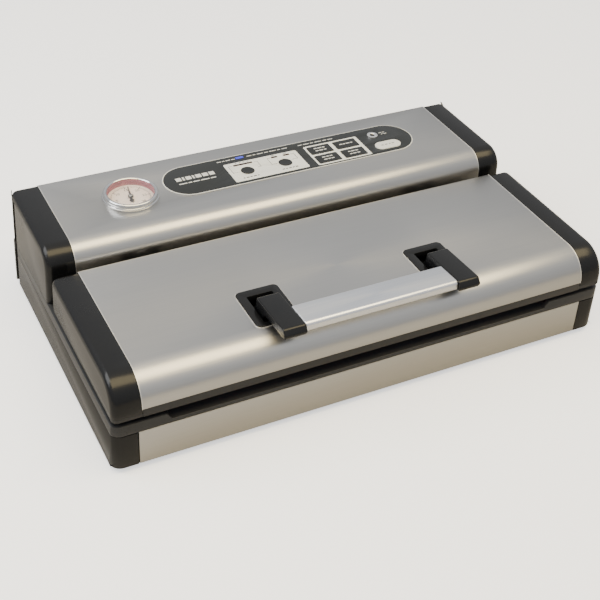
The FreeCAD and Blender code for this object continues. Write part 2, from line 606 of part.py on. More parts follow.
def make_handle_bezels():
    x, half = DIM["bezel_x"], DIM["bezel_half"]
    flange_plan = plan(x - half, x + half, DIM["bezel_front"], DIM["bezel_rear"], 4)
    inner = DIM["arm_slot_half"]
    opening = plan(x - inner, x + inner, DIM["arm_slot_front"], DIM["arm_slot_rear"], 1)
    flange = profile("bezel_flange", "XY", flange_plan, "z_lid_top", "bezel_high", holes=[opening])
    skirt_plan = plan(x - half + 2.1, x + half - 2.1, DIM["bezel_front"] + 2.1, DIM["bezel_rear"] - 2.1, 2)
    skirt = profile("bezel_skirt", "XY", skirt_plan, "z_lid_top - 3.5", "3.6", holes=[opening])
    bezel = fuse("bezel", flange, skirt)
    node("handle_bezel_right", bezel)
    node("handle_bezel_left", mirror("bezel_mirrored", bezel))


# ---------------------------------------------------------------- handle and latch

def make_handle():
    y, z = DIM["latch_y"], DIM["latch_z"]
    hub = 6.0
    arm_outline = [
        (y + hub, z - hub, 5.5), (y + hub, z + 5, 4), (y - 4.6, z + 12.5, 3), (y - 6.5, z + 22.8, 3),
        (y - 47.8, z + 25.4, 3), (y - 51.35, z + 21.0, 2), (y - 49.4, z + 17.8, 1.5), (y - 20.0, z + 16.2, 4),
        (y - 14.0, z + 5.5, 5), (y - 6.0, z - hub, 5.5),
    ]
    arm = profile("arm_right", "YZ", arm_outline, "arm_in", "arm_wide", holes=[circle(y, z, DIM["shaft"])])
    node("handle_arm_right", arm)
    node("handle_arm_left", mirror("arm_left", arm))
    bar_outline = [(y - 25.0, z + 23.9, 1.5), (y - 47.5, z + 25.3, 3), (y - 48.6, z + 18.2, 2.5),
                   (y - 25.4, z + 16.8, 1.5)]
    node("handle_bar", profile("bar", "YZ", bar_outline, "-arm_in", "2*arm_in"))
    node("latch_shaft", rod("shaft_rod", "shaft", "-shaft_half", "shaft_half", ("latch_y", "latch_z"), "x"))
    hook_outline = [
        (y - 6, z + 6, 5.9), (y - 6, z - 29, 1), (y - 4, z - 30.6, 1), (y + 5, z - 30.6, 1),
        (y + 8.5, z - 28.5, 0.6), (y + 8.5, z - 27.5, 0.3), (y, z - 27.4, 1), (y, z - 6, 1),
        (y + 6, z - 4.5, 2), (y + 6, z + 6, 5.9),
    ]
    hook = profile("hook", "YZ", hook_outline, "hook_in", "hook_wide", holes=[circle(y, z, DIM["shaft"])])
    node("latch_hooks", bunch("hooks", *both_sides("hook", hook)))


# ---------------------------------------------------------------- rear housing

def key_spots():
    """Keys by name: centre and plan outline grown by a margin."""
    spots = {}
    for name, x in (("select_button_left", -14.3), ("select_button_right", 18.0)):
        spots[name] = ((x, 74.5), lambda grow, x=x: circle(x, 74.5, DIM["round_key"] + grow))
    long, deep = DIM["flat_key_long"] / 2, DIM["flat_key_deep"] / 2
    for i, (x, y) in enumerate(((52.4, 82.1), (75.7, 82.1), (52.4, 67.9), (75.7, 67.9)), start=1):
        spots[f"mode_key_{i}"] = ((x, y), lambda grow, x=x, y=y: plan(
            x - long - grow, x + long + grow, y - deep - grow, y + deep + grow, 1 + grow))
    half, radius = DIM["stop_key_long"] / 2, DIM["stop_key_deep"] / 2
    x, y = 107.3, 68.7
    spots["cancel_key"] = ((x, y), lambda grow: plan(
        x - half - grow, x + half + grow, y - radius - grow, y + radius + grow, radius + grow - 0.01))
    return spots


KEYS = key_spots()
LED_SPOTS = [(-20.2, 84.5), (-16.2, 84.5), (-12.2, 84.5), (-8.2, 84.5), (13.0, 84.9), (23.4, 84.7), (-12.6, 94.4)]


def key_holes(name, low, high, grow):
    """Cutting tools for the keys, the lamps and the port."""
    tools = [profile(f"{name}_{key}", "XY", shape(grow), low, f"({high}) - ({low})")
             if isinstance(shape(grow), list) else
             rod(f"{name}_{key}", str(DIM["round_key"] + grow), low, high, (str(x), str(y)))
             for key, ((x, y), shape) in KEYS.items()]
    for i, (x, y) in enumerate(LED_SPOTS):
        tools.append(box(f"{name}_led_{i}", (str(x - 1.5), str(x + 1.5)), (str(y - 0.9), str(y + 0.9)), (low, high)))
    tools.append(rod(f"{name}_port", "port_neck", low, high, ("port_x", "port_y")))
    return tools


def make_housing_cover():
    outline = bent_sheet(DIM["y_house"], DIM["z_rim_top"], DIM["z_house"], DIM["y_rear"], DIM["house_skirt"],
                         DIM["house_bow"], DIM["house_heel"])
    sheet_metal = profile("house_sheet", "YZ", outline, "-house_half", "2*house_half")
    gauge_hole = rod("gauge_hole", "case_out + 0.1", "z_house - 3", "z_house + 1", ("gauge_x", "gauge_y"))
    window = box("key_window", ("-34", "122"), ("overlay_front + 2", "overlay_rear - 2"),
                 ("z_house - 3", "z_house + 1"))
    node("housing_cover", cut("house_sheet_cut", sheet_metal, gauge_hole, window))


def make_housing_caps():
    step, wall = DIM["cap_step"], DIM["wall"]
    front, rear, top, foot = DIM["y_house"] + 0.2, DIM["y_rear"], DIM["z_house"] - step, DIM["z_rim_top"]
    bow = DIM["house_bow"]
    outline = [(front, foot), (front, top, bow), (rear, top, 4), (rear, foot)]
    block = profile("house_cap_block", "YZ", outline, "house_half", "base_half - house_half")
    sloped = trim_sides("house_cap_sloped", block)
    rounded = round_edges("house_cap_rounded", sloped, DIM["cap_round"], outer_edge)
    inside = [(front + wall, foot - 1), (front + wall, top - wall, bow - wall), (rear - wall, top - wall, 2),
              (rear - wall, foot - 1)]
    hollow = profile("house_cap_hollow", "YZ", inside, "house_half - 1", "base_half - house_half - 6")
    cap = cut("house_cap_shell", rounded, hollow, side_grooves("cap")[0])
    node("housing_cap_right", cap)
    node("housing_cap_left", mirror("house_cap_mirrored", cap))


def make_rear_panel():
    face, wall, foot = DIM["rear_face"], DIM["wall"], DIM["z_rim_top"]
    skirt = DIM["house_skirt"]
    outline = [(face - wall, foot), (face, foot), (face, skirt + 8), (face - wall, skirt + 8)]
    sheet_part = profile("rear_sheet", "YZ", outline, "-house_half + 0.1", "2*house_half - 0.2")
    holes = [rod(f"panel_hole_{i}", "screw", "100", "120", (str(x), str(REAR_SCREW_Z)), "y")
             for i, x in enumerate(REAR_SCREW_X)]
    holes.append(rod("gland_hole", "gland_neck", "100", "120", ("gland_x", "gland_z"), "y"))
    for row in range(3):
        for i in range(8):
            left = 20 + 13 * i
            low = 47 + 6 * row
            holes.append(box(f"rear_vent_{row}_{i}", (str(left), str(left + 9)), ("110", "120"),
                             (str(low), str(low + 2.4))))
    node("rear_panel", cut("rear_sheet_cut", sheet_part, *holes))
    flange = rod("gland_flange", "gland_flange", "rear_face", "y_rear", ("gland_x", "gland_z"), "y")
    neck = rod("gland_neck", "gland_neck", "rear_face - 9", "y_rear", ("gland_x", "gland_z"), "y")
    bore = rod("gland_bore", "gland_bore", "rear_face - 10", "y_rear + 1", ("gland_x", "gland_z"), "y")
    node("cord_gland", cut("gland", fuse("gland_solid", flange, neck), bore))


def make_controls():
    overlay_plan = plan(DIM["overlay_left"], DIM["overlay_right"], DIM["overlay_front"], DIM["overlay_rear"],
                        (DIM["overlay_rear"] - DIM["overlay_front"]) / 2 - 0.01)
    film = profile("overlay_film", "XY", overlay_plan, "z_house", "overlay_high")
    node("control_overlay", cut("overlay_cut", film, *key_holes("overlay", "z_house - 1", "z_house + 2",
                                                                DIM["key_gap"])))
    fields = []
    for name, x, front, rear in (("left", (-29.3, 33.3), 61.5, 88.6), ("right", (40.7, 88.6), 60.3, 90.0)):
        plate = profile(f"field_{name}", "XY", plan(*x, front, rear, 1.2), "z_house + overlay_high", "field_high")
        fields.append(cut(f"field_{name}_cut", plate, *key_holes(f"field_{name}_hole", "z_house", "z_house + 2",
                                                                 DIM["key_gap"])))
    node("key_fields", bunch("fields", *fields))
    for key, ((x, y), shape) in KEYS.items():
        outline = shape(0)
        if isinstance(outline, list):
            node(key, profile(f"{key}_block", "XY", outline, "key_top - key_high", "key_high"))
        else:
            node(key, rod(f"{key}_block", "round_key", "key_top - key_high", "key_top", (str(x), str(y))))
    lamps = [box(f"lamp_{i}", (str(x - 1.4), str(x + 1.4)), (str(y - 0.8), str(y + 0.8)),
                 ("board_top", "z_house + overlay_high + field_high + 0.05"))
             for i, (x, y) in enumerate(LED_SPOTS)]
    node("status_lamps", bunch("lamps", *lamps))
    plate = box("board_blank", ("-33", "121"), ("overlay_front + 3", "overlay_rear - 2.6"),
                ("board_top - board", "board_top"))
    node("control_board", cut("board_cut", plate, rod("board_port", "port_neck + 0.8", "60", "90",
                                                      ("port_x", "port_y"))))
    switches = []
    for key, ((x, y), _) in KEYS.items():
        body = box(f"{key}_switch", (str(x - 3), str(x + 3)), (str(y - 3), str(y + 3)), ("board_top", "board_top + 3.5"))
        plunger = rod(f"{key}_plunger", "1.7", "board_top + 3", "key_top - key_high - key_travel - 0.1",
                      (str(x), str(y)))
        switches.append(fuse(f"{key}_tact", body, plunger))
    node("key_switches", bunch("switches", *switches))
    flange = rod("port_flange", "port_flange", "z_house + overlay_high", "z_house + overlay_high + 0.9",
                 ("port_x", "port_y"))
    neck = rod("port_neck", "port_neck", "port_foot", "z_house + overlay_high + 0.1", ("port_x", "port_y"))
    nipple = rod("port_nipple", "hose_in", "port_foot - nipple_long", "port_foot + 0.1", ("port_x", "port_y"))
    bore = rod("port_bore", "port_bore", "port_foot - nipple_long - 1", "z_house + 3", ("port_x", "port_y"))
    node("accessory_port", cut("port", fuse("port_solid", flange, neck, nipple), bore))


def make_gauge():
    at = ("gauge_x", "gauge_y")
    case = cut("case_cut", rod("case_block", "case_out", "case_foot", "case_top", at),
               rod("case_room", "case_in", "dial_z - 1", "case_top + 1", at))
    node("gauge_case", case)
    ring = cut("bezel_ring", rod("bezel_block", "bezel_out", "z_house", "bezel_top", at),
               rod("bezel_room", "case_out", "z_house - 1", "case_top + 1.0", at),
               rod("bezel_mouth", "case_out - 1.7", "case_top", "bezel_top + 1", at))
    rounded = round_edges("bezel_rounded", ring, 1.6,
                          lambda e: e.BoundBox.ZMin > DIM["bezel_top"] - 0.01 and e.BoundBox.XLength > 42)
    node("gauge_bezel", rounded)
    node("gauge_dial", rod("dial", "case_in - 0.1", "dial_z - 1", "dial_z", at))
    node("gauge_lens", rod("lens", "case_out - 0.05", "case_top", "case_top + 1.0", at))
    x, y, reach = DIM["gauge_x"], DIM["gauge_y"], DIM["needle_long"]
    lean = math.radians(-10)
    along, across = Vector(-math.sin(lean), math.cos(lean), 0), Vector(math.cos(lean), math.sin(lean), 0)
    spots = [(-4.5, 0.9), (reach, 0.25), (reach, -0.25), (-4.5, -0.9)]
    tail = Vector(x, y, 0) - along * 5.0
    blade = [((Vector(x, y, 0) + along * a + across * b).x, (Vector(x, y, 0) + along * a + across * b).y)
             for a, b in spots]
    pointer = fuse("needle", profile("needle_blade", "XY", blade, "needle_z", "0.4"),
                   rod("needle_hub", "1.9", "needle_z", "needle_z + 0.9", at),
                   rod("needle_tail", "1.7", "needle_z", "needle_z + 0.4", (str(tail.x), str(tail.y))))
    node("gauge_needle", pointer)
    stem = fuse("stem_solid", rod("stem_hex", "5", "case_foot - 6", "case_foot", at),
                rod("stem_pipe", "hose_in", "case_foot - 6 - nipple_long", "case_foot - 5", at))
    node("gauge_stem", cut("stem", stem, rod("stem_bore", "1.2", "case_foot - 7 - nipple_long", "case_foot - 2", at)))


def make_pump():
    axis = ("pump_y", "pump_z")
    node("pump_bracket", box("bracket", ("-34", "60"), ("pump_y - 22", "pump_y + 22"), ("z_tub + wall", "z_tub + wall + 2")))
    motor = cut("motor_cut", fuse("motor_solid", rod("motor_can", "motor_out", "motor_left", "motor_right", axis, "x"),
                                  box("motor_cradle", ("-14", "20"), ("pump_y - 12", "pump_y + 12"),
                                      ("z_tub + wall + 2", "pump_z - 10"))),
                rod("shaft_room", "fan_shaft + running", "motor_left - 1", "motor_left + 12", axis, "x"))
    node("pump_motor", motor)
    head = fuse("head_solid", box("head_block", ("motor_right", "motor_right + 30"), ("pump_y - 20", "pump_y + 20"),
                                  ("z_tub + wall + 2", "pump_z + 22")),
                rod("head_nipple_a", "hose_in", "pump_z + 21", "pump_z + 22 + nipple_long", ("motor_right + 8", "pump_y")),
                rod("head_nipple_b", "hose_in", "pump_z + 21", "pump_z + 22 + nipple_long", ("motor_right + 22", "pump_y")))
    node("pump_head", head)
    spindle = rod("fan_spindle", "fan_shaft", "motor_left - 14", "motor_left + 11", axis, "x")
    hub = rod("fan_hub", "4.5", "motor_left - 12", "motor_left - 4", axis, "x")
    blades = []
    for i in range(6):
        blade = box(f"fan_blade_{i}", ("0", "6"), ("-1", "1"), ("4", "fan_out"))
        blade.Placement = Placement(Vector(DIM["motor_left"] - 11, DIM["pump_y"], DIM["pump_z"]),
                                    Rotation(Vector(1, 0, 0), 60 * i))
        for prop in ("x", "y", "z"):
            blade.setExpression(f"Placement.Base.{prop}", None)
        blade.setExpression("Height", None)
        blade.Height = DIM["fan_out"] - 3.5
        blade.Placement = blade.Placement.multiply(Placement(Vector(0, -1, 3.5), Rotation()))
        blades.append(blade)
    node("pump_fan", fuse("fan", spindle, hub, *blades))
    core = box("core", ("86", "132"), ("40", "76"), ("z_tub + wall", "44"))
    coil = box("coil", ("94", "124"), ("34", "82"), ("z_tub + wall + 6", "40"))
    node("transformer", fuse("transformer_solid", core, coil))
    board = [box("supply_board", ("-146", "-52"), ("42", "98"), ("12", "13.6"))]
    for i, (x, y, wide, deep, high) in enumerate(((-136, 50, 18, 14, 15), (-110, 52, 22, 20, 18),
                                                  (-80, 50, 16, 12, 12), (-130, 78, 12, 12, 20),
                                                  (-100, 80, 26, 10, 10), (-68, 76, 10, 14, 16))):
        board.append(box(f"board_part_{i}", (str(x), str(x + wide)), (str(y), str(y + deep)), ("13", str(13.6 + high))))
    for i, (x, y) in enumerate(((-142, 46), (-142, 94), (-56, 46), (-56, 94))):
        board.append(rod(f"board_leg_{i}", "3", "z_tub + wall", "12.5", (str(x), str(y))))
    node("power_board", fuse("power_board_solid", *board))
    valve = fuse("valve_solid", box("valve_block", ("66", "82"), ("92", "108"), ("z_tub + wall", "24")),
                 rod("valve_coil", "7", "23", "42", ("74", "100")), rod("valve_nipple", "hose_in", "41", "50", ("74", "100")))
    node("solenoid_valve", valve)


def hose(name, points, outer, inner):
    """A flexible tube along straight runs joined by tangent arcs."""
    edges = []
    here = Vector(*points[0])
    for before, corner, after in zip(points, points[1:], points[2:]):
        corner, before, after = Vector(*corner), Vector(*before), Vector(*after)
        back, ahead = (before - corner), (after - corner)
        run = 0.45 * min(back.Length, ahead.Length)
        back.normalize()
        ahead.normalize()
        half = back.getAngle(ahead) / 2
        radius = run * math.tan(half)
        centre = corner + (back + ahead).normalize() * (radius / math.sin(half))
        start, end = corner + back * run, corner + ahead * run
        middle = centre + (corner - centre).normalize() * radius
        edges += [Part.makeLine(here, start), Part.Arc(start, middle, end).toShape()]
        here = end
    edges.append(Part.makeLine(here, Vector(*points[-1])))
    path = Part.Wire(edges)
    aim = (Vector(*points[1]) - Vector(*points[0])).normalize()
    tubes = []
    for radius in (outer, inner):
        ring = Part.Wire([Part.makeCircle(radius, Vector(*points[0]), aim)])
        tubes.append(path.makePipeShell([ring], True, True))
    tube = doc.addObject("Part::Feature", name)
    tube.Shape = tubes[0].cut(tubes[1])
    return tube


def make_hoses():
    inner, outer, grip = DIM["hose_in"], DIM["hose_out"], DIM["nipple_long"] - 0.5
    start_z = DIM["pump_z"] + 22.5
    near, far, y = DIM["motor_right"] + 8, DIM["motor_right"] + 22, DIM["pump_y"]
    gauge = (DIM["gauge_x"], DIM["gauge_y"])
    port = (DIM["port_x"], DIM["port_y"])
    to_gauge = hose("hose_gauge", [(near, y, start_z), (near, y, 70), (-30, 76, 68), (-90, 76, 40), (*gauge, 34),
                                   (*gauge, DIM["case_foot"] - 6 - DIM["nipple_long"] + grip)], outer, inner)
    to_port = hose("hose_port", [(far, y, start_z), (far, y, 70), (74, 84, 64), (92, 86, 46), (*port, 44),
                                 (*port, DIM["port_foot"] - DIM["nipple_long"] + grip)], outer, inner)
    node("air_hoses", bunch("hoses", to_gauge, to_port))


# ---------------------------------------------------------------- build and check

def build():
    make_tub()
    make_deck()
    node("front_panel", box("front_sheet", ("-panel_half", "panel_half"), ("y_front - 0.1", "y_front + steel"),
                            ("panel_foot", "z_rim - 0.1")))
    make_seal()
    make_latch_keepers()
    make_hinge_arms()
    make_feet_and_screws()
    make_lid_cover()
    make_lid_caps()
    make_lid_frame()
    make_lid_hinges()
    make_handle_bezels()
    make_handle()
    make_housing_cover()
    make_housing_caps()
    make_rear_panel()
    make_controls()
    make_gauge()
    make_pump()
    make_hoses()
    doc.recompute()


def check():
    """Stops before anything is written if an object failed or a sub-part is empty or invalid."""
    for obj in doc.Objects:
        if "Invalid" in obj.State or "Error" in obj.State:
            raise RuntimeError(f"{obj.Name} ({obj.Label}) is {obj.State}")
    for obj in made_nodes:
        shape = obj.Shape
        if shape.isNull() or not shape.isValid() or not shape.Solids:
            raise RuntimeError(f"{obj.Label} has no valid shape")


def write():
    os.makedirs("parts", exist_ok=True)
    for obj in made_nodes:
        obj.Shape.exportStep(f"parts/{obj.Label}.step")
        print(f"{obj.Label}: {len(obj.Shape.Solids)} solid(s), {obj.Shape.Volume:.0f} mm3")
    print(len(made_nodes), "nodes")


build()
check()
write()
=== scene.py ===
"""Countertop vacuum sealer: the looks.

The model is in metres in the frame's own axes: +X to the right, +Y to the back, +Z up.
Sizes and places below are written in millimetres and turned into metres with MM.
"""

import json
import math

import bpy
from mathutils import Matrix, Vector

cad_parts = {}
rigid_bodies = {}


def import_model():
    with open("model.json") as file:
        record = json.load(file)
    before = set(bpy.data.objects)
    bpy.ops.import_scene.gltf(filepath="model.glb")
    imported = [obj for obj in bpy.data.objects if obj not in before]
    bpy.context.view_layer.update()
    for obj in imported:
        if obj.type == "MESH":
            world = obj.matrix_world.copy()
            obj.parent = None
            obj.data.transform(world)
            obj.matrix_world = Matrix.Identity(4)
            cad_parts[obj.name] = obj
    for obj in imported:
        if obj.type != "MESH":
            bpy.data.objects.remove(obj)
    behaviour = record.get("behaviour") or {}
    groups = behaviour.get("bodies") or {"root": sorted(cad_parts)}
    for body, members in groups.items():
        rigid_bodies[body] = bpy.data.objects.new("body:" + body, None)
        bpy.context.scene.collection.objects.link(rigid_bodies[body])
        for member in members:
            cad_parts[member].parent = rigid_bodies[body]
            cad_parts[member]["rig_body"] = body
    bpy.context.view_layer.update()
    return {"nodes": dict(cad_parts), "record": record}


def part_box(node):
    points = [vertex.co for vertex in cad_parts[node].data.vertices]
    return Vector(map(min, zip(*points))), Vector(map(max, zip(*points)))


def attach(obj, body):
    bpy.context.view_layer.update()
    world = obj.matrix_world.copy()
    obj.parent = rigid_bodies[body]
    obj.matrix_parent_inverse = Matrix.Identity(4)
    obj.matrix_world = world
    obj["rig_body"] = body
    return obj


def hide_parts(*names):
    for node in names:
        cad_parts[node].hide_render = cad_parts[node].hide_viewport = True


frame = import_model()

MM = 0.001
TOUCH = 1e-5                 # metres: two places nearer than this are the same place

# Bent sheets
STEEL = 0.8
SHEET_HEEL = 3.0             # bend at a sheet's top rear edge
LID_BOW = 21.0               # bend at the lid's top front edge, in the sheet and in the end caps
HOUSING_BOW = 15.0
LID_FOLD_FOOT = 57.0         # how low the lid sheet's rear fold reaches
LID_TRIM_FOOT = 66.5         # how low its bright edge strips reach, and the top of the hinge notches
HOUSING_FOLD_FOOT = 66.0

# End caps
CAP_WALL = 2.4
CAP_CORNER = 5.0
CAP_DRAFT = math.radians(1.9)
LID_CAP_HEEL = 5.4
HOUSING_CAP_HEEL = 4.0

# Where two lengths of the deck moulding meet
SLOT_LEFT, SLOT_RIGHT = -150.0, 140.5
TROUGH_SIDE = 141.0
TROUGH_FRONT, TROUGH_BACK = -78.0, -16.0

# Feet and screws, as (x, y)
FEET = [(x, y) for x in (-165, 165) for y in (-90, 95)]
FLOOR_SCREWS = [(x, y) for x in (-172, 172) for y in (-60, 20)]
LID_SCREWS = [(x, y) for x in (-160, 160) for y in (-104, 6)]
REAR_SCREWS_X = (-152, 152)
REAR_SCREWS_Z = 54


# ---------------------------------------------------------------- selecting and shaping

def deselect():
    """Leaves edit mode and selects nothing."""
    if bpy.context.object and bpy.context.object.mode != "OBJECT":
        bpy.ops.object.mode_set(mode="OBJECT")
    bpy.ops.object.select_all(action="DESELECT")


def focus(piece):
    """Makes one piece the only selected and the active one."""
    deselect()
    piece.select_set(True)
    bpy.context.view_layer.objects.active = piece


def finish_edit():
    """Goes back from edit mode."""
    bpy.ops.object.mode_set(mode="OBJECT")


def pick(piece, kind, wanted):
    """Opens edit mode with only the vertices, edges or faces that `wanted` accepts selected."""
    focus(piece)
    mesh = piece.data
    for part in (mesh.vertices, mesh.edges, mesh.polygons):
        part.foreach_set("select", [False] * len(part))
    if kind == "FACE":
        for face in mesh.polygons:
            face.select = wanted(face.center, face.normal)
    elif kind == "EDGE":
        for edge in mesh.edges:
            a, b = (mesh.vertices[i].co for i in edge.vertices)
            edge.select = wanted(a, b)
    else:
        for vertex in mesh.vertices:
            vertex.select = wanted(vertex.co)
    bpy.ops.object.mode_set(mode="EDIT")
    bpy.ops.mesh.select_mode(type=kind)


def everything(piece):
    """Opens edit mode with the whole piece selected."""
    focus(piece)
    bpy.ops.object.mode_set(mode="EDIT")
    bpy.ops.mesh.select_mode(type="VERT")
    bpy.ops.mesh.select_all(action="SELECT")


def block(name, low, high):
    """A block between two corners given in millimetres; every piece is shaped further."""
    low, high = Vector(low) * MM, Vector(high) * MM
    deselect()
    bpy.ops.mesh.primitive_cube_add(size=1, location=(low + high) / 2)
    piece = bpy.context.object
    piece.name = name
    piece.scale = high - low
    bpy.ops.object.transform_apply(location=True, rotation=True, scale=True)
    return piece


def sheet_plate(name, x, y, z):
    """A flat rectangle at height z; x and y are (low, high) in millimetres."""
    deselect()
    bpy.ops.mesh.primitive_plane_add(size=1, location=(sum(x) / 2 * MM, sum(y) / 2 * MM, z * MM))
    piece = bpy.context.object
    piece.name = name
    piece.scale = ((x[1] - x[0]) * MM, (y[1] - y[0]) * MM, 1)
    bpy.ops.object.transform_apply(location=True, rotation=True, scale=True)
    return piece


def round_edges(piece, wanted, radius, segments=6):
    """Rounds the edges that `wanted` accepts."""
    pick(piece, "EDGE", wanted)
    bpy.ops.mesh.bevel(offset=radius * MM, offset_type="OFFSET", segments=segments, profile=0.5,
                       affect="EDGES", clamp_overlap=False)
    finish_edit()


def round_plan(piece, radius, segments=8):
    """Rounds the corners of a flat plate."""
    everything(piece)
    bpy.ops.mesh.bevel(offset=radius * MM, offset_type="OFFSET", segments=segments, profile=0.5,
                       affect="VERTICES")
    finish_edit()


def raise_plate(piece, height):
    """Gives a flat plate its thickness, upwards."""
    everything(piece)
    bpy.ops.mesh.extrude_region_move(TRANSFORM_OT_translate={"value": (0, 0, height * MM)})
    bpy.ops.mesh.select_all(action="SELECT")
    bpy.ops.mesh.normals_make_consistent(inside=False)
    finish_edit()


def modifier(piece, kind, **values):
    """Adds one modifier and applies it."""
    focus(piece)
    made = piece.modifiers.new(kind.title(), kind)
    for key, value in values.items():
        setattr(made, key, value)
    bpy.ops.object.modifier_apply(modifier=made.name)


def soften(piece, width, segments=2, angle=32):
    """A small bevel on every sharp edge, kept inside the piece's own box."""
    corners = [vertex.co.copy() for vertex in piece.data.vertices]
    low = [min(corner[axis] for corner in corners) for axis in range(3)]
    high = [max(corner[axis] for corner in corners) for axis in range(3)]
    modifier(piece, "BEVEL", width=width * MM, segments=segments, limit_method="ANGLE",
             angle_limit=math.radians(angle), use_clamp_overlap=False, harden_normals=False)
    for vertex in piece.data.vertices:
        vertex.co = [min(max(vertex.co[axis], low[axis]), high[axis]) for axis in range(3)]


def smooth(piece, angle=32):
    """Shades smoothly across every edge flatter than the angle."""
    focus(piece)
    bpy.ops.object.shade_smooth_by_angle(angle=math.radians(angle))


def ease(piece, width):
    """Bevels and shades a piece whose round faces are already in its mesh."""
    soften(piece, width, 2, 50)
    smooth(piece, 40)


def carve(piece, *tools):
    """Cuts the tools out of a piece and removes them."""
    for tool in tools:
        modifier(piece, "BOOLEAN", operation="DIFFERENCE", object=tool, solver="EXACT")
        bpy.data.objects.remove(tool, do_unlink=True)


def join(name, pieces):
    """Makes one piece of several."""
    deselect()
    for piece in pieces:
        piece.select_set(True)
    bpy.context.view_layer.objects.active = pieces[0]
    bpy.ops.object.join()
    pieces[0].name = name
    return pieces[0]


def turned(name, x, y, rings, sides=64, closed=False):
    """A turned piece about the upright through (x, y): rings are (radius, height) from start to end."""
    deselect()
    radius, height = rings[0]
    centre = Vector((x, y, 0)) * MM
    bpy.ops.mesh.primitive_circle_add(vertices=sides, radius=radius * MM, fill_type="NOTHING",
                                      location=(centre.x, centre.y, height * MM))
    piece = bpy.context.object
    piece.name = name
    bpy.ops.object.transform_apply(location=True, rotation=True, scale=True)
    everything(piece)
    bpy.ops.mesh.select_mode(type="EDGE")
    bpy.ops.mesh.select_all(action="SELECT")
    if not closed:
        bpy.ops.mesh.edge_face_add()
    for new_radius, new_height in rings[1:]:
        rise = (new_height - height) * MM
        bpy.ops.mesh.extrude_edges_move(TRANSFORM_OT_translate={"value": (0, 0, rise)})
        size = new_radius / radius
        bpy.ops.transform.resize(value=(size, size, 1),
                                 center_override=(centre.x, centre.y, new_height * MM))
        radius, height = new_radius, new_height
    if not closed:
        bpy.ops.mesh.edge_face_add()
    bpy.ops.mesh.select_all(action="SELECT")
    bpy.ops.mesh.remove_doubles(threshold=0.00001)
    bpy.ops.mesh.normals_make_consistent(inside=False)
    finish_edit()
    return piece


def refined(node, width, segments=2, hidden=None):
    """A CAD piece with its edges eased: its mesh is copied, merged, cleared of flat edges and bevelled.

    Faces that `hidden` accepts, where two lengths of one moulding meet, are dropped first.
    """
    source = frame["nodes"][node]
    deselect()
    piece = source.copy()
    piece.data = source.data.copy()
    piece.parent = None
    piece.name = f"{node}_eased"
    for key in list(piece.keys()):
        del piece[key]
    bpy.context.scene.collection.objects.link(piece)
    focus(piece)
    bpy.ops.mesh.customdata_custom_splitnormals_clear()
    if hidden:
        pick(piece, "FACE", hidden)
        bpy.ops.mesh.delete(type="FACE")
        finish_edit()
    everything(piece)
    bpy.ops.mesh.remove_doubles(threshold=0.000005)
    bpy.ops.mesh.dissolve_limited(angle_limit=math.radians(0.4))
    finish_edit()
    if width:
        soften(piece, width, segments)
    smooth(piece)
    return piece


def place(piece, node, material):
    """Puts a finished piece in its CAD node's stead, on the same body."""
    piece.data.materials.clear()
    piece.data.materials.append(material)
    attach(piece, frame["nodes"][node]["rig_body"])
    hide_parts(node)
    return piece


def add(piece, body, material):
    """Puts an extra piece on a body."""
    piece.data.materials.clear()
    piece.data.materials.append(material)
    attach(piece, body)
    return piece


SLOT_OF = {part["node"]: part["material_slot"] for part in frame["record"]["subparts"]}


def limits(node):
    """Lowest and highest corner of a CAD piece, in millimetres."""
    low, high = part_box(node)
    return low / MM, high / MM


# ---------------------------------------------------------------- shared surface effects

def new_group(name, inputs, outputs):
    """A node group with plain number sockets; returns it with its input and output nodes."""
    group = bpy.data.node_groups.new(name, "ShaderNodeTree")
    for label, default in inputs:
        socket = group.interface.new_socket(label, in_out="INPUT", socket_type="NodeSocketFloat")
        socket.default_value = default
    for label in outputs:
        group.interface.new_socket(label, in_out="OUTPUT", socket_type="NodeSocketFloat")
    return group, group.nodes.new("NodeGroupInput"), group.nodes.new("NodeGroupOutput")


def math_node(tree, operation, a, b=None, clamp=False):
    """One sum on numbers or sockets; returns its output socket."""
    node = tree.nodes.new("ShaderNodeMath")
    node.operation = operation
    node.use_clamp = clamp
    for socket, value in zip(node.inputs, (a, b)):
        if value is None:
            continue
        if isinstance(value, (int, float)):
            socket.default_value = value
        else:
            tree.links.new(value, socket)
    return node.outputs[0]


def noise(tree, vector, scale, detail=4.0, roughness=0.6):
    """A noise pattern over the given place; returns its value."""
    node = tree.nodes.new("ShaderNodeTexNoise")
    tree.links.new(vector, node.inputs["Vector"])
    if isinstance(scale, (int, float)):
        node.inputs["Scale"].default_value = scale
    else:
        tree.links.new(scale, node.inputs["Scale"])
    node.inputs["Detail"].default_value = detail
    node.inputs["Roughness"].default_value = roughness
    return node.outputs["Fac"]


def brushing_group():
    """Long fine scratches along X, as on brushed sheet metal."""
    group, given, out = new_group("brushing", [("Fineness", 1.0)], ["Streaks", "Clouds"])
    place_node = group.nodes.new("ShaderNodeTexCoord")
    stretch = group.nodes.new("ShaderNodeMapping")
    stretch.inputs["Scale"].default_value = (0.012, 1.0, 1.0)
    group.links.new(place_node.outputs["Object"], stretch.inputs["Vector"])
    fine = math_node(group, "MULTIPLY", given.outputs["Fineness"], 1500.0)
    streaks = noise(group, stretch.outputs["Vector"], fine, 5.0, 0.7)
    group.links.new(streaks, out.inputs["Streaks"])
    clouds = noise(group, place_node.outputs["Object"], 9.0, 3.0, 0.5)
    group.links.new(clouds, out.inputs["Clouds"])
    return group


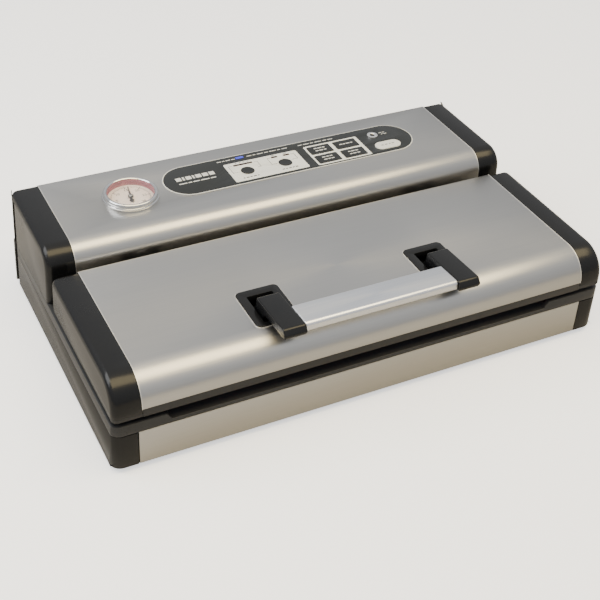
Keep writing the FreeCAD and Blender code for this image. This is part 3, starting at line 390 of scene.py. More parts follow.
def moulding_group():
    """The fine spark texture of moulded plastic."""
    group, given, out = new_group("moulded_grain", [("Fineness", 1.0)], ["Grain", "Clouds"])
    place_node = group.nodes.new("ShaderNodeTexCoord")
    fine = math_node(group, "MULTIPLY", given.outputs["Fineness"], 2200.0)
    grain = noise(group, place_node.outputs["Object"], fine, 3.0, 0.6)
    group.links.new(grain, out.inputs["Grain"])
    clouds = noise(group, place_node.outputs["Object"], 14.0, 4.0, 0.55)
    group.links.new(clouds, out.inputs["Clouds"])
    return group


def dust_group():
    """A thin uneven settling of dust on what faces up."""
    group, given, out = new_group("settled_dust", [("Amount", 0.2)], ["Dust"])
    place_node = group.nodes.new("ShaderNodeTexCoord")
    geometry = group.nodes.new("ShaderNodeNewGeometry")
    split = group.nodes.new("ShaderNodeSeparateXYZ")
    group.links.new(geometry.outputs["Normal"], split.inputs[0])
    upward = math_node(group, "POWER", math_node(group, "MAXIMUM", split.outputs["Z"], 0.0), 3.0)
    patches = noise(group, place_node.outputs["Object"], 60.0, 8.0, 0.75)
    upward_patches = math_node(group, "MULTIPLY", upward, math_node(group, "POWER", patches, 2.0))
    settled = math_node(group, "MULTIPLY", upward_patches, given.outputs["Amount"], clamp=True)
    group.links.new(settled, out.inputs["Dust"])
    return group


def wear_group():
    """A light rub along outer edges."""
    group, given, out = new_group("rubbed_edges", [("Amount", 0.3)], ["Rub"])
    place_node = group.nodes.new("ShaderNodeTexCoord")
    geometry = group.nodes.new("ShaderNodeNewGeometry")
    sharp = math_node(group, "SUBTRACT", geometry.outputs["Pointiness"], 0.52)
    ridge = math_node(group, "MULTIPLY", sharp, 9.0, clamp=True)
    broken = noise(group, place_node.outputs["Object"], 180.0, 6.0, 0.7)
    rub = math_node(group, "MULTIPLY", ridge, broken)
    faded = math_node(group, "MULTIPLY", rub, given.outputs["Amount"], clamp=True)
    group.links.new(faded, out.inputs["Rub"])
    return group


BRUSHING = brushing_group()
MOULDING = moulding_group()
DUST = dust_group()
WEAR = wear_group()


# ---------------------------------------------------------------- materials

def use(tree, group, value):
    """Puts a shared effect into a material, with its one setting; returns its outputs."""
    node = tree.nodes.new("ShaderNodeGroup")
    node.node_tree = group
    node.inputs[0].default_value = value
    return node.outputs


def mix_colour(tree, factor, first, second):
    """A colour between two colours or sockets."""
    node = tree.nodes.new("ShaderNodeMix")
    node.data_type = "RGBA"
    tree.links.new(factor, node.inputs[0])
    for socket, value in ((node.inputs[6], first), (node.inputs[7], second)):
        if isinstance(value, tuple):
            socket.default_value = (*value, 1.0)
        else:
            tree.links.new(value, socket)
    return node.outputs[2]


def spread(tree, value, low, high):
    """Stretches the middle of a noise value over low to high."""
    node = tree.nodes.new("ShaderNodeMapRange")
    tree.links.new(value, node.inputs["Value"])
    node.inputs["From Min"].default_value = 0.3
    node.inputs["From Max"].default_value = 0.7
    node.inputs["To Min"].default_value = low
    node.inputs["To Max"].default_value = high
    return node.outputs[0]


def start_material(name):
    """A new material; returns it with its node tree and its shader."""
    material = bpy.data.materials.new(name)
    material.use_nodes = True
    tree = material.node_tree
    return material, tree, tree.nodes["Principled BSDF"]


def relief(tree, shader, height, depth):
    """Bumps the surface by a height value; depth is in millimetres."""
    bump = tree.nodes.new("ShaderNodeBump")
    bump.inputs["Strength"].default_value = 1.0
    bump.inputs["Distance"].default_value = depth * MM
    tree.links.new(height, bump.inputs["Height"])
    tree.links.new(bump.outputs["Normal"], shader.inputs["Normal"])


def brushed_metal(name, dark, light, rough, fineness=1.0, depth=0.004, dust=0.05, stretch=0.5):
    """Metal with fine lengthwise scratches; stretch is how far its highlights are drawn out."""
    material, tree, shader = start_material(name)
    marks = use(tree, BRUSHING, fineness)
    dusty = use(tree, DUST, dust)
    shader.inputs["Metallic"].default_value = 1.0
    shader.inputs["Anisotropic"].default_value = stretch
    base = mix_colour(tree, spread(tree, marks["Streaks"], 0.0, 1.0), dark, light)
    tree.links.new(mix_colour(tree, dusty["Dust"], base, (0.55, 0.53, 0.5)), shader.inputs["Base Color"])
    tree.links.new(math_node(tree, "ADD", spread(tree, marks["Streaks"], rough[0], rough[1]),
                             spread(tree, marks["Clouds"], -0.02, 0.02)), shader.inputs["Roughness"])
    relief(tree, shader, marks["Streaks"], depth)
    return material


def moulded_plastic(name, dark, light, rough, fineness=1.0, depth=0.01, dust=0.08, rub=0.25, shine=0.5):
    """Plastic, rubber, ink or paint with a fine grain, rubbed edges and a little dust."""
    material, tree, shader = start_material(name)
    marks = use(tree, MOULDING, fineness)
    dusty = use(tree, DUST, dust)
    rubbed = use(tree, WEAR, rub)
    base = mix_colour(tree, spread(tree, marks["Clouds"], 0.0, 1.0), dark, light)
    worn = mix_colour(tree, rubbed["Rub"], base, tuple(min(1.0, c * 2.2 + 0.05) for c in light))
    tree.links.new(mix_colour(tree, dusty["Dust"], worn, (0.42, 0.4, 0.38)), shader.inputs["Base Color"])
    tree.links.new(math_node(tree, "ADD", spread(tree, marks["Clouds"], rough[0], rough[1]),
                             spread(tree, marks["Grain"], -0.03, 0.03)), shader.inputs["Roughness"])
    shader.inputs["Specular IOR Level"].default_value = shine
    relief(tree, shader, marks["Grain"], depth)
    return material


def clear_glass(name, tint):
    """Clear moulded glass with faint smears, which lets light through to what is behind it."""
    material, tree, shader = start_material(name)
    smears = use(tree, MOULDING, 0.02)
    shader.inputs["Base Color"].default_value = (*tint, 1.0)
    shader.inputs["Transmission Weight"].default_value = 1.0
    shader.inputs["IOR"].default_value = 1.46
    tree.links.new(spread(tree, smears["Clouds"], 0.0, 0.05), shader.inputs["Roughness"])
    path = tree.nodes.new("ShaderNodeLightPath")
    through = tree.nodes.new("ShaderNodeBsdfTransparent")
    either = tree.nodes.new("ShaderNodeMixShader")
    tree.links.new(path.outputs["Is Shadow Ray"], either.inputs[0])
    tree.links.new(shader.outputs[0], either.inputs[1])
    tree.links.new(through.outputs[0], either.inputs[2])
    tree.links.new(either.outputs[0], tree.nodes["Material Output"].inputs["Surface"])
    return material


def glowing(name, colour, strength):
    """A lit lamp window."""
    material, tree, shader = start_material(name)
    marks = use(tree, MOULDING, 0.5)
    tone = mix_colour(tree, spread(tree, marks["Grain"], 0.0, 1.0), tuple(c * 0.8 for c in colour), colour)
    tree.links.new(tone, shader.inputs["Base Color"])
    tree.links.new(tone, shader.inputs["Emission Color"])
    shader.inputs["Emission Strength"].default_value = strength
    tree.links.new(spread(tree, marks["Clouds"], 0.15, 0.3), shader.inputs["Roughness"])
    return material


def woven_tape(name):
    """Brown woven tape with scorched stains."""
    material, tree, shader = start_material(name)
    where = tree.nodes.new("ShaderNodeTexCoord")
    waves = []
    for direction in ("X", "Y"):
        wave = tree.nodes.new("ShaderNodeTexWave")
        wave.wave_type = "BANDS"
        wave.bands_direction = direction
        wave.inputs["Scale"].default_value = 260.0
        tree.links.new(where.outputs["Object"], wave.inputs["Vector"])
        waves.append(wave.outputs["Fac"])
    weave = math_node(tree, "MULTIPLY", waves[0], waves[1])
    stain = noise(tree, where.outputs["Object"], 40.0, 5.0)
    base = mix_colour(tree, weave, (0.16, 0.09, 0.045), (0.36, 0.24, 0.13))
    tree.links.new(mix_colour(tree, spread(tree, stain, 0.0, 0.35), base, (0.1, 0.06, 0.035)),
                   shader.inputs["Base Color"])
    tree.links.new(spread(tree, stain, 0.35, 0.5), shader.inputs["Roughness"])
    relief(tree, shader, weave, 0.03)
    return material


def make_materials():
    """Every finish, under the name of its material slot or of the print or edge that it is for."""
    return {
        "steel_sheet": brushed_metal(
            "brushed_sheet_steel", dark=(0.535, 0.528, 0.515), light=(0.575, 0.567, 0.552),
            rough=(0.30, 0.36), fineness=1.0, depth=0.008),
        # Bright cut edges of the covers, and the pale ring round each handle bezel, which is a painted
        # highlight.
        "cut_edge_and_painted_highlight": brushed_metal(
            "bright_cut_edge", dark=(0.85, 0.84, 0.82), light=(0.95, 0.94, 0.92), rough=(0.42, 0.5),
            fineness=0.4, depth=0.001),
        "handle_metal": brushed_metal(
            "satin_handle_metal", dark=(0.84, 0.86, 0.90), light=(0.93, 0.94, 0.97), rough=(0.30, 0.36),
            fineness=0.5),
        # A paler, matt copy of the sheet steel for the lid's rear flange, so that the housing's foot
        # mirrors a lighter band: a painted reflection.
        "painted_reflection_steel": brushed_metal(
            "painted_reflection_inner_steel", dark=(0.62, 0.60, 0.57), light=(0.70, 0.68, 0.64), rough=(0.75, 0.85),
            fineness=0.5),
        "zinc_steel": brushed_metal(
            "zinc_plated_steel", dark=(0.42, 0.43, 0.44), light=(0.58, 0.59, 0.6), rough=(0.3, 0.42),
            fineness=0.3),
        "nichrome": brushed_metal(
            "heating_wire", dark=(0.3, 0.28, 0.26), light=(0.42, 0.4, 0.37), rough=(0.35, 0.45),
            fineness=0.5),
        "gauge_steel": brushed_metal(
            "polished_rim", dark=(0.66, 0.66, 0.66), light=(0.78, 0.78, 0.775), rough=(0.07, 0.12),
            fineness=0.4, depth=0.001, dust=0.03, stretch=0.0),
        "port_steel": brushed_metal(
            "plated_port", dark=(0.86, 0.86, 0.86), light=(0.95, 0.95, 0.95), rough=(0.26, 0.34),
            fineness=0.4, depth=0.001),
        "brass_fitting": brushed_metal(
            "turned_brass", dark=(0.55, 0.4, 0.16), light=(0.7, 0.54, 0.26), rough=(0.25, 0.35),
            fineness=0.4),
        "pump_metal": brushed_metal(
            "die_cast_metal", dark=(0.4, 0.4, 0.41), light=(0.55, 0.55, 0.56), rough=(0.45, 0.6),
            fineness=0.2, depth=0.01),
        "motor_steel": brushed_metal(
            "motor_can", dark=(0.42, 0.42, 0.43), light=(0.55, 0.55, 0.56), rough=(0.28, 0.38),
            fineness=0.4),
        "core_iron": moulded_plastic(
            "laminated_core", dark=(0.1, 0.095, 0.09), light=(0.17, 0.16, 0.15), rough=(0.5, 0.65),
            fineness=0.3, depth=0.03),
        "black_shell": moulded_plastic(
            "black_satin_shell", dark=(0.0036, 0.0040, 0.0050), light=(0.0054, 0.0058, 0.0070),
            rough=(0.20, 0.27), fineness=1.0, depth=0.005, dust=0.012, rub=0.2, shine=0.36),
        "deck_plastic": moulded_plastic(
            "slate_deck_moulding", dark=(0.020, 0.021, 0.024), light=(0.029, 0.030, 0.034),
            rough=(0.28, 0.36), fineness=0.9, depth=0.008, dust=0.015, rub=0.2, shine=0.4),
        "black_frame": moulded_plastic(
            "black_matt_moulding", dark=(0.013, 0.013, 0.0145), light=(0.02, 0.02, 0.022),
            rough=(0.40, 0.5), fineness=0.8, depth=0.012, dust=0.02),
        "tray_plastic": moulded_plastic(
            "tray_moulding", dark=(0.02, 0.02, 0.022), light=(0.03, 0.03, 0.032), rough=(0.25, 0.35)),
        "switch_black": moulded_plastic(
            "switch_moulding", dark=(0.02, 0.02, 0.02), light=(0.035, 0.035, 0.035), rough=(0.4, 0.5)),
        "seal_rubber": moulded_plastic(
            "foam_rubber", dark=(0.012, 0.012, 0.012), light=(0.025, 0.025, 0.025), rough=(0.75, 0.9),
            fineness=0.35, depth=0.05, dust=0.1, rub=0.05),
        "foot_rubber": moulded_plastic(
            "foot_rubber", dark=(0.016, 0.016, 0.016), light=(0.028, 0.028, 0.028), rough=(0.6, 0.75),
            fineness=0.5, depth=0.02, dust=0.1, rub=0.1),
        "red_silicone": moulded_plastic(
            "red_silicone", dark=(0.24, 0.03, 0.02), light=(0.34, 0.05, 0.035), rough=(0.4, 0.5),
            fineness=0.6, depth=0.01, dust=0.06, rub=0.1),
        "tape": woven_tape("woven_seal_tape"),
        "overlay_film": moulded_plastic(
            "slate_control_film", dark=(0.014, 0.017, 0.020), light=(0.019, 0.022, 0.025),
            rough=(0.32, 0.4), fineness=0.5, depth=0.003, dust=0.02, rub=0.05, shine=0.4),
        "white_print": moulded_plastic(
            "white_key_field", dark=(0.76, 0.79, 0.79), light=(0.84, 0.865, 0.86), rough=(0.38, 0.46),
            fineness=0.5, depth=0.002, dust=0.02, rub=0.0),
        "pale_print": moulded_plastic(
            "pale_ink", dark=(0.6, 0.62, 0.63), light=(0.72, 0.74, 0.75), rough=(0.4, 0.5),
            fineness=0.8, depth=0.002, dust=0.02, rub=0.0),
        "dark_print": moulded_plastic(
            "dark_ink", dark=(0.012, 0.013, 0.016), light=(0.02, 0.021, 0.024), rough=(0.4, 0.5),
            fineness=0.8, depth=0.002, dust=0.02, rub=0.0),
        "grey_print": moulded_plastic(
            "grey_ink", dark=(0.30, 0.31, 0.32), light=(0.36, 0.37, 0.38), rough=(0.4, 0.5),
            fineness=0.8, depth=0.002, dust=0.0, rub=0.0),
        "key_cap": moulded_plastic(
            "slate_key", dark=(0.011, 0.013, 0.016), light=(0.016, 0.018, 0.021), rough=(0.34, 0.42),
            fineness=0.7, depth=0.003, dust=0.02, rub=0.3, shine=0.4),
        "stop_key": moulded_plastic(
            "pale_key", dark=(0.72, 0.745, 0.75), light=(0.80, 0.82, 0.825), rough=(0.34, 0.42),
            fineness=0.7, depth=0.003, dust=0.02, rub=0.0),
        "lamp_off": moulded_plastic(
            "lamp_window", dark=(0.02, 0.008, 0.009), light=(0.035, 0.012, 0.013), rough=(0.15, 0.25),
            fineness=0.8, depth=0.001, dust=0.0, rub=0.0),
        "lamp_blue": glowing("blue_lamp", (0.05, 0.06, 0.55), 0.9),
        "board_green": moulded_plastic(
            "circuit_board", dark=(0.015, 0.09, 0.03), light=(0.03, 0.16, 0.06), rough=(0.3, 0.45),
            fineness=0.4, depth=0.02),
        "gauge_case": moulded_plastic(
            "gauge_wall", dark=(0.26, 0.075, 0.10), light=(0.36, 0.13, 0.16), rough=(0.3, 0.4),
            fineness=0.5, depth=0.003, dust=0.03, rub=0.0),
        "dial_white": moulded_plastic(
            "dial_card", dark=(0.68, 0.60, 0.605), light=(0.76, 0.69, 0.69), rough=(0.5, 0.6),
            fineness=0.4, depth=0.004, dust=0.0, rub=0.0),
        "needle_black": moulded_plastic(
            "needle_paint", dark=(0.012, 0.012, 0.013), light=(0.02, 0.02, 0.02), rough=(0.35, 0.45)),
        "lens_clear": clear_glass("gauge_lens", (0.98, 0.985, 0.985)),
        "fan_plastic": moulded_plastic(
            "fan_moulding", dark=(0.5, 0.5, 0.48), light=(0.62, 0.62, 0.6), rough=(0.4, 0.5)),
        "hose_silicone": moulded_plastic(
            "hose_silicone", dark=(0.52, 0.52, 0.5), light=(0.64, 0.64, 0.62), rough=(0.3, 0.4)),
    }


FINISH = make_materials()


# ---------------------------------------------------------------- covers and end caps

def bent_cover(name, node, bow, heel, rear_foot, across=None):
    """A sheet folded over the front and the back: a flat plate, two folds and round bends; its callers give
    it thickness.
    """
    low, high = limits(node)
    plate = sheet_plate(name, across or (low.x, high.x), (low.y, high.y), high.z)
    front, rear = low.y * MM, high.y * MM
    pick(plate, "EDGE", lambda a, b: abs(a.y - front) < TOUCH and abs(b.y - front) < TOUCH)
    bpy.ops.mesh.extrude_edges_move(TRANSFORM_OT_translate={"value": (0, 0, (low.z - high.z) * MM)})
    finish_edit()
    pick(plate, "EDGE", lambda a, b: abs(a.y - rear) < TOUCH and abs(b.y - rear) < TOUCH)
    bpy.ops.mesh.extrude_edges_move(TRANSFORM_OT_translate={"value": (0, 0, (rear_foot - high.z) * MM)})
    finish_edit()
    everything(plate)
    bpy.ops.mesh.normals_make_consistent(inside=False)
    finish_edit()
    top = high.z * MM

    def top_edge(y):
        return lambda a, b: abs(a.y - y) + abs(b.y - y) < TOUCH and min(a.z, b.z) > top - TOUCH

    round_edges(plate, top_edge(front), bow, 20)
    round_edges(plate, top_edge(rear), heel, 6)
    return plate


def face_up(plate):
    """Turns the sheet's faces outwards, so that it thickens inwards."""
    everything(plate)
    bpy.ops.mesh.normals_make_consistent(inside=False)
    finish_edit()
    tops = [face for face in plate.data.polygons if abs(face.normal.z) > 0.99]
    if tops and sum(face.normal.z for face in tops) < 0:
        everything(plate)
        bpy.ops.mesh.flip_normals()
        finish_edit()


def cut_lines(piece, axis, positions):
    """Adds straight cuts across a sheet."""
    for position in positions:
        everything(piece)
        point, normal = Vector(), Vector()
        point[axis] = position * MM
        normal[axis] = 1.0
        bpy.ops.mesh.bisect(plane_co=point, plane_no=normal, use_fill=False)
        finish_edit()


def low_x(piece):
    """The piece's lowest X in millimetres."""
    return min(vertex.co.x for vertex in piece.data.vertices) / MM


def hinge_notches(name):
    """Cutting blocks for the gaps in the lid's rear fold, one at each hinge arm."""
    outside = limits("hinge_arms")[1].x + 2
    inside = outside - 30
    right = block(f"{name}_right", (inside, 12, 50), (outside, 20, LID_TRIM_FOOT))
    left = block(f"{name}_left", (-outside, 12, 50), (-inside, 20, LID_TRIM_FOOT))
    return right, left


def make_lid_cover():
    """The lid's bent sheet with its handle windows, hinge notches and bright edges, and a paler rear flange
    that paints a lighter reflection into the housing's foot.
    """
    cover = bent_cover("lid_cover_sheet", "lid_cover", LID_BOW, SHEET_HEEL, LID_FOLD_FOOT)
    low, high = limits("handle_bezel_right")
    windows = [(low.x + 2, high.x - 2), (-high.x + 2, -low.x - 2)]
    front, back = low.y + 2, high.y - 2
    cut_lines(cover, 0, [edge for pair in windows for edge in pair])
    cut_lines(cover, 1, [front, back])
    for left, right in windows:
        pick(cover, "FACE", lambda c, n: left < c.x / MM < right and front < c.y / MM < back)
        bpy.ops.mesh.delete(type="FACE")
        finish_edit()
    face_up(cover)
    modifier(cover, "SOLIDIFY", thickness=STEEL * MM, offset=-1.0)
    carve(cover, *hinge_notches("hinge_notch"))
    ease(cover, 0.2)
    place(cover, "lid_cover", FINISH["steel_sheet"])
    body = frame["nodes"]["lid_cover"]["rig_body"]
    trim = sheet_edges("lid_sheet_edges", "lid_cover", LID_BOW, SHEET_HEEL, LID_TRIM_FOOT)
    add(trim, body, FINISH["cut_edge_and_painted_highlight"])
    # The rear flange is paler, matt steel over the rear fold, so that the housing's foot mirrors a lighter
    # band: a painted reflection.
    rear = limits("lid_cover")[1].y
    flange_end = -low_x(cover) - 0.5
    flange = block("lid_rear_painted_reflection_flange", (-flange_end, rear - 0.05, LID_FOLD_FOOT + 0.3),
                   (flange_end, rear + 0.12, 68.6))
    carve(flange, *hinge_notches("flange_notch"))
    ease(flange, 0.05)
    add(flange, body, FINISH["painted_reflection_steel"])


def sheet_edges(name, node, bow, heel, rear_foot):
    """The bright cut edge of a cover along both end caps: two thin strips bent to the same shape."""
    low, high = limits(node)
    strips = []
    for i, start in enumerate((low.x - 0.35, high.x - 0.15)):
        strip = bent_cover(f"{name}_{i}", node, bow, heel, rear_foot, (start, start + 0.5))
        face_up(strip)
        modifier(strip, "SOLIDIFY", thickness=0.3 * MM, offset=-0.6)
        strips.append(strip)
    strips = join(name, strips)
    ease(strips, 0.05)
    return strips


def make_housing_cover():
    """The housing's bent sheet, open under the gauge and the keys, with its bright edges."""
    cover = bent_cover("housing_cover_sheet", "housing_cover", HOUSING_BOW, SHEET_HEEL, HOUSING_FOLD_FOOT)
    face_up(cover)
    modifier(cover, "SOLIDIFY", thickness=STEEL * MM, offset=-1.0)
    low, high = limits("gauge_case")
    x, y = (low.x + high.x) / 2, (low.y + high.y) / 2
    radius = (high.x - low.x) / 2
    hole = turned("gauge_hole", x, y, [(radius + 0.05, 78), (radius + 0.05, 90)], 72)
    film_low, film_high = limits("control_overlay")
    window = block("key_window", (-34, film_low.y + 2, 78), (122, film_high.y - 2, 90))
    carve(cover, hole, window)
    ease(cover, 0.2)
    place(cover, "housing_cover", FINISH["steel_sheet"])
    trim = sheet_edges("housing_sheet_edges", "housing_cover", HOUSING_BOW, SHEET_HEEL, HOUSING_FOLD_FOOT)
    add(trim, frame["nodes"]["housing_cover"]["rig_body"], FINISH["cut_edge_and_painted_highlight"])


def end_cap(name, node, side, bow, heel, corner):
    """A hollow end cap: a block with a sloping side, a bowed front and rounded outer edges."""
    low, high = limits(node)
    inner, foot_x = (low.x, high.x) if side > 0 else (high.x, low.x)
    top_x = foot_x - side * math.tan(CAP_DRAFT) * (high.z - low.z)
    cap = block(name, (min(inner, foot_x), low.y, low.z), (max(inner, foot_x), high.y, high.z))
    pick(cap, "VERT", lambda c: abs(c.x - foot_x * MM) < TOUCH and abs(c.z - high.z * MM) < TOUCH)
    bpy.ops.transform.translate(value=((top_x - foot_x) * MM, 0, 0))
    finish_edit()

    def lengthwise(y, z):
        return lambda a, b: sum(abs(end.y - y * MM) + abs(end.z - z * MM) for end in (a, b)) < TOUCH

    round_edges(cap, lengthwise(low.y, high.z), bow, 20)
    round_edges(cap, lengthwise(high.y, high.z), heel, 6)
    limit = min(abs(foot_x), abs(top_x)) * MM - TOUCH
    above_foot = low.z * MM + 10 * TOUCH
    round_edges(cap, lambda a, b: min(abs(a.x), abs(b.x)) > limit and max(a.z, b.z) > above_foot, corner, 6)
    pick(cap, "FACE", lambda c, n: n.x * side < -0.99 or n.z < -0.99)
    bpy.ops.mesh.delete(type="FACE")
    finish_edit()
    modifier(cap, "SOLIDIFY", thickness=CAP_WALL * MM, offset=-1.0)
    return cap


def make_caps():
    """Both end caps of the lid and of the housing, which have a groove down their sides."""
    for side, word in ((1, "right"), (-1, "left")):
        cap = end_cap(f"lid_cap_{word}_shell", f"lid_cap_{word}", side, LID_BOW, LID_CAP_HEEL, CAP_CORNER)
        ease(cap, 0.3)
        place(cap, f"lid_cap_{word}", FINISH["black_shell"])
        cap = end_cap(f"housing_cap_{word}_shell", f"housing_cap_{word}", side, HOUSING_BOW,
                      HOUSING_CAP_HEEL, CAP_CORNER)
        outside = limits("base_tub")[1].x
        x = (outside - 3, outside + 5) if side > 0 else (-outside - 5, -outside + 3)
        carve(cap, block("side_groove", (x[0], 106, 30), (x[1], 112, 78)))
        ease(cap, 0.3)
        place(cap, f"housing_cap_{word}", FINISH["black_shell"])


# ---------------------------------------------------------------- base

def deck_joint(centre, normal):
    """True for a face where two lengths of the deck moulding meet."""
    x, y, z = centre / MM
    tray_low, tray_high = limits("drip_tray")
    in_front = y < tray_low.y - 0.6
    between = tray_low.y - 0.7 < y < tray_high.y + 0.7
    outside = abs(x) > tray_high.x + 0.6
    below = z < tray_low.z
    if abs(normal.x) > 0.999:
        at_slot_end = abs(x - SLOT_LEFT) < 0.05 or abs(x - SLOT_RIGHT) < 0.05
        at_trough = abs(abs(x) - TROUGH_SIDE) < 0.05
        return (in_front and at_slot_end) or (between and below and at_trough)
    if abs(normal.y) > 0.999:
        at_trough = abs(y - TROUGH_FRONT) < 0.05 or abs(y - TROUGH_BACK) < 0.05
        return at_trough and (outside or below)
    return False


def make_base():
    """What doesn't move under the lid, with its edges eased."""
    place(refined("base_tub", 0.4), "base_tub", FINISH["black_shell"])
    place(refined("deck", 0.4, 2, deck_joint), "deck", FINISH["deck_plastic"])
    place(refined("front_panel", 0.2), "front_panel", FINISH["steel_sheet"])
    place(refined("rear_panel", 0.3), "rear_panel", FINISH["black_frame"])
    place(refined("drip_tray", 0.3), "drip_tray", FINISH["tray_plastic"])
    place(refined("lower_gasket", 1.4, 4), "lower_gasket", FINISH["seal_rubber"])
    place(refined("seal_bar", 0.4), "seal_bar", FINISH["switch_black"])
    place(refined("hinge_arms", 0.3), "hinge_arms", FINISH["zinc_steel"])
    place(refined("latch_keepers", 0.2), "latch_keepers", FINISH["zinc_steel"])


def make_feet():
    """Four turned rubber feet with a dished underside."""
    rings = [(4.0, 1.0), (4.6, 0.3), (7.6, 0.0), (8.7, 0.5), (9.0, 1.4), (9.0, 4.5), (3.0, 4.5)]
    feet = [turned(f"foot_{x}_{y}", x, y, rings, 48) for x, y in FEET]
    set_of_feet = join("rubber_foot_set", feet)
    smooth(set_of_feet)
    place(set_of_feet, "rubber_feet", FINISH["foot_rubber"])


def cross_screw(name, x, y, rings):
    """A turned screw with a cross recess in the face at its first ring."""
    screw = turned(name, x, y, rings, 32)
    depth = rings[0][1]
    for i, (wide, deep) in enumerate(((1.9, 0.5), (0.5, 1.9))):
        slot = block(f"recess_{i}", (x - wide, y - deep, depth - 0.8), (x + wide, y + deep, depth + 0.75))
        carve(screw, slot)
    return screw


def make_screws():
    """The case screws: four from below and two from behind."""
    back = limits("case_screws")[1].y
    upright = [(2.6, 4.7), (3.0, 5.0), (3.0, 6.2), (1.5, 6.25), (1.5, 17.0)]
    level = [(2.4, 0.0), (3.0, 0.5), (3.0, 1.3), (1.5, 1.35), (1.5, 11.5)]
    screws = [cross_screw(f"screw_{x}_{y}", x, y, upright) for x, y in FLOOR_SCREWS]
    for x in REAR_SCREWS_X:
        rear = cross_screw(f"rear_screw_{x}", 0, 0, level)
        everything(rear)
        bpy.ops.transform.rotate(value=math.radians(90), orient_axis="X", center_override=(0, 0, 0))
        finish_edit()
        if max(vertex.co.y for vertex in rear.data.vertices) > 5 * MM:
            everything(rear)
            bpy.ops.transform.rotate(value=math.radians(180), orient_axis="X", center_override=(0, 0, 0))
            finish_edit()
        everything(rear)
        bpy.ops.transform.translate(value=(x * MM, back * MM, REAR_SCREWS_Z * MM))
        finish_edit()
        screws.append(rear)
    screw_set = join("case_screw_set", screws)
    smooth(screw_set)
    place(screw_set, "case_screws", FINISH["zinc_steel"])


# ---------------------------------------------------------------- lid and handle

def make_lid_inside():
    """The lid's inner frame, gasket, strip and hinge cheeks."""
    place(refined("lid_frame", 0.35), "lid_frame", FINISH["black_frame"])
    place(refined("lid_gasket", 0.9, 4), "lid_gasket", FINISH["seal_rubber"])
    place(refined("pressure_strip", 0.8, 3), "pressure_strip", FINISH["red_silicone"])
    place(refined("lid_hinges", 0.4), "lid_hinges", FINISH["black_frame"])


def make_bezels():
    """The two frames round the handle's slots, each with a pale ring round its edge that is a painted
    highlight.
    """
    for word, side in (("right", 1), ("left", -1)):
        low, high = limits(f"handle_bezel_{word}")
        top = high.z
        x, y = (low.x, high.x), (low.y, high.y)
        centre = (x[0] + x[1]) / 2

        def grown(by):
            """The frame's outline, larger all round."""
            return (x[0] - by, x[1] + by), (y[0] - by, y[1] + by)

        bezel = sheet_plate(f"handle_bezel_{word}_frame", x, y, top - 1.0)
        round_plan(bezel, 4.0, 8)
        raise_plate(bezel, 1.0)
        round_edges(bezel, lambda a, b: min(a.z, b.z) > (top - 0.01) * MM, 0.5, 3)
        skirt = block("bezel_skirt", (x[0] + 2.2, y[0] + 2.2, low.z), (x[1] - 2.2, y[1] - 2.2, top - 0.9))
        modifier(bezel, "BOOLEAN", operation="UNION", object=skirt, solver="EXACT")
        bpy.data.objects.remove(skirt, do_unlink=True)
        slot = sheet_plate("bezel_opening", (centre - 9.6, centre + 9.6), (-88, -59), low.z - 1)
        round_plan(slot, 1.0, 4)
        raise_plate(slot, 8.0)
        carve(bezel, slot)
        ease(bezel, 0.18)
        place(bezel, f"handle_bezel_{word}", FINISH["black_shell"])
        # A pale ring round the frame's edge, standing in for the highlight on it: a painted highlight.
        rim = sheet_plate(f"bezel_painted_highlight_{word}", *grown(0.4), top - 1.0)
        round_plan(rim, 4.3, 8)
        raise_plate(rim, 0.4)
        inside = sheet_plate("outline_inside", *grown(0.05), top - 2.0)
        round_plan(inside, 4.0, 8)
        raise_plate(inside, 3.0)
        carve(rim, inside)
        ease(rim, 0.08)
        body = frame["nodes"][f"handle_bezel_{word}"]["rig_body"]
        add(rim, body, FINISH["cut_edge_and_painted_highlight"])


def make_handle():
    """The handle's arms and bar, with the shaft and hooks under the lid."""
    for word in ("right", "left"):
        place(refined(f"handle_arm_{word}", 1.1, 4), f"handle_arm_{word}", FINISH["black_shell"])
    place(refined("handle_bar", 1.1, 4), "handle_bar", FINISH["handle_metal"])
    place(refined("latch_hooks", 0.4), "latch_hooks", FINISH["zinc_steel"])
    place(refined("latch_shaft", 0.3), "latch_shaft", FINISH["zinc_steel"])


# ---------------------------------------------------------------- controls

def centre_of(node):
    """The middle of a CAD piece in plan."""
    low, high = limits(node)
    return (low.x + high.x) / 2, (low.y + high.y) / 2


def capsule(name, x, y, z, height, inset=0.0):
    """A flat plate with fully round ends, made thick; x and y are (low, high)."""
    x = (x[0] + inset, x[1] - inset)
    y = (y[0] + inset, y[1] - inset)
    plate = sheet_plate(name, x, y, z)
    round_plan(plate, (y[1] - y[0]) / 2 - 0.02, 24)
    raise_plate(plate, height)
    return plate


def make_overlay():
    """The long control film with its pale outline and white fields."""
    place(refined("control_overlay", 0.12), "control_overlay", FINISH["overlay_film"])
    low, high = limits("control_overlay")
    x, y = (low.x - 0.8, high.x + 0.8), (low.y - 0.8, high.y + 0.8)
    outline = capsule("overlay_outline", x, y, low.z, 0.45)
    carve(outline, capsule("outline_inside", x, y, low.z - 1, 3.0, 0.85))
    ease(outline, 0.1)
    add(outline, frame["nodes"]["control_overlay"]["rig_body"], FINISH["pale_print"])
    place(refined("key_fields", 0.05), "key_fields", FINISH["white_print"])


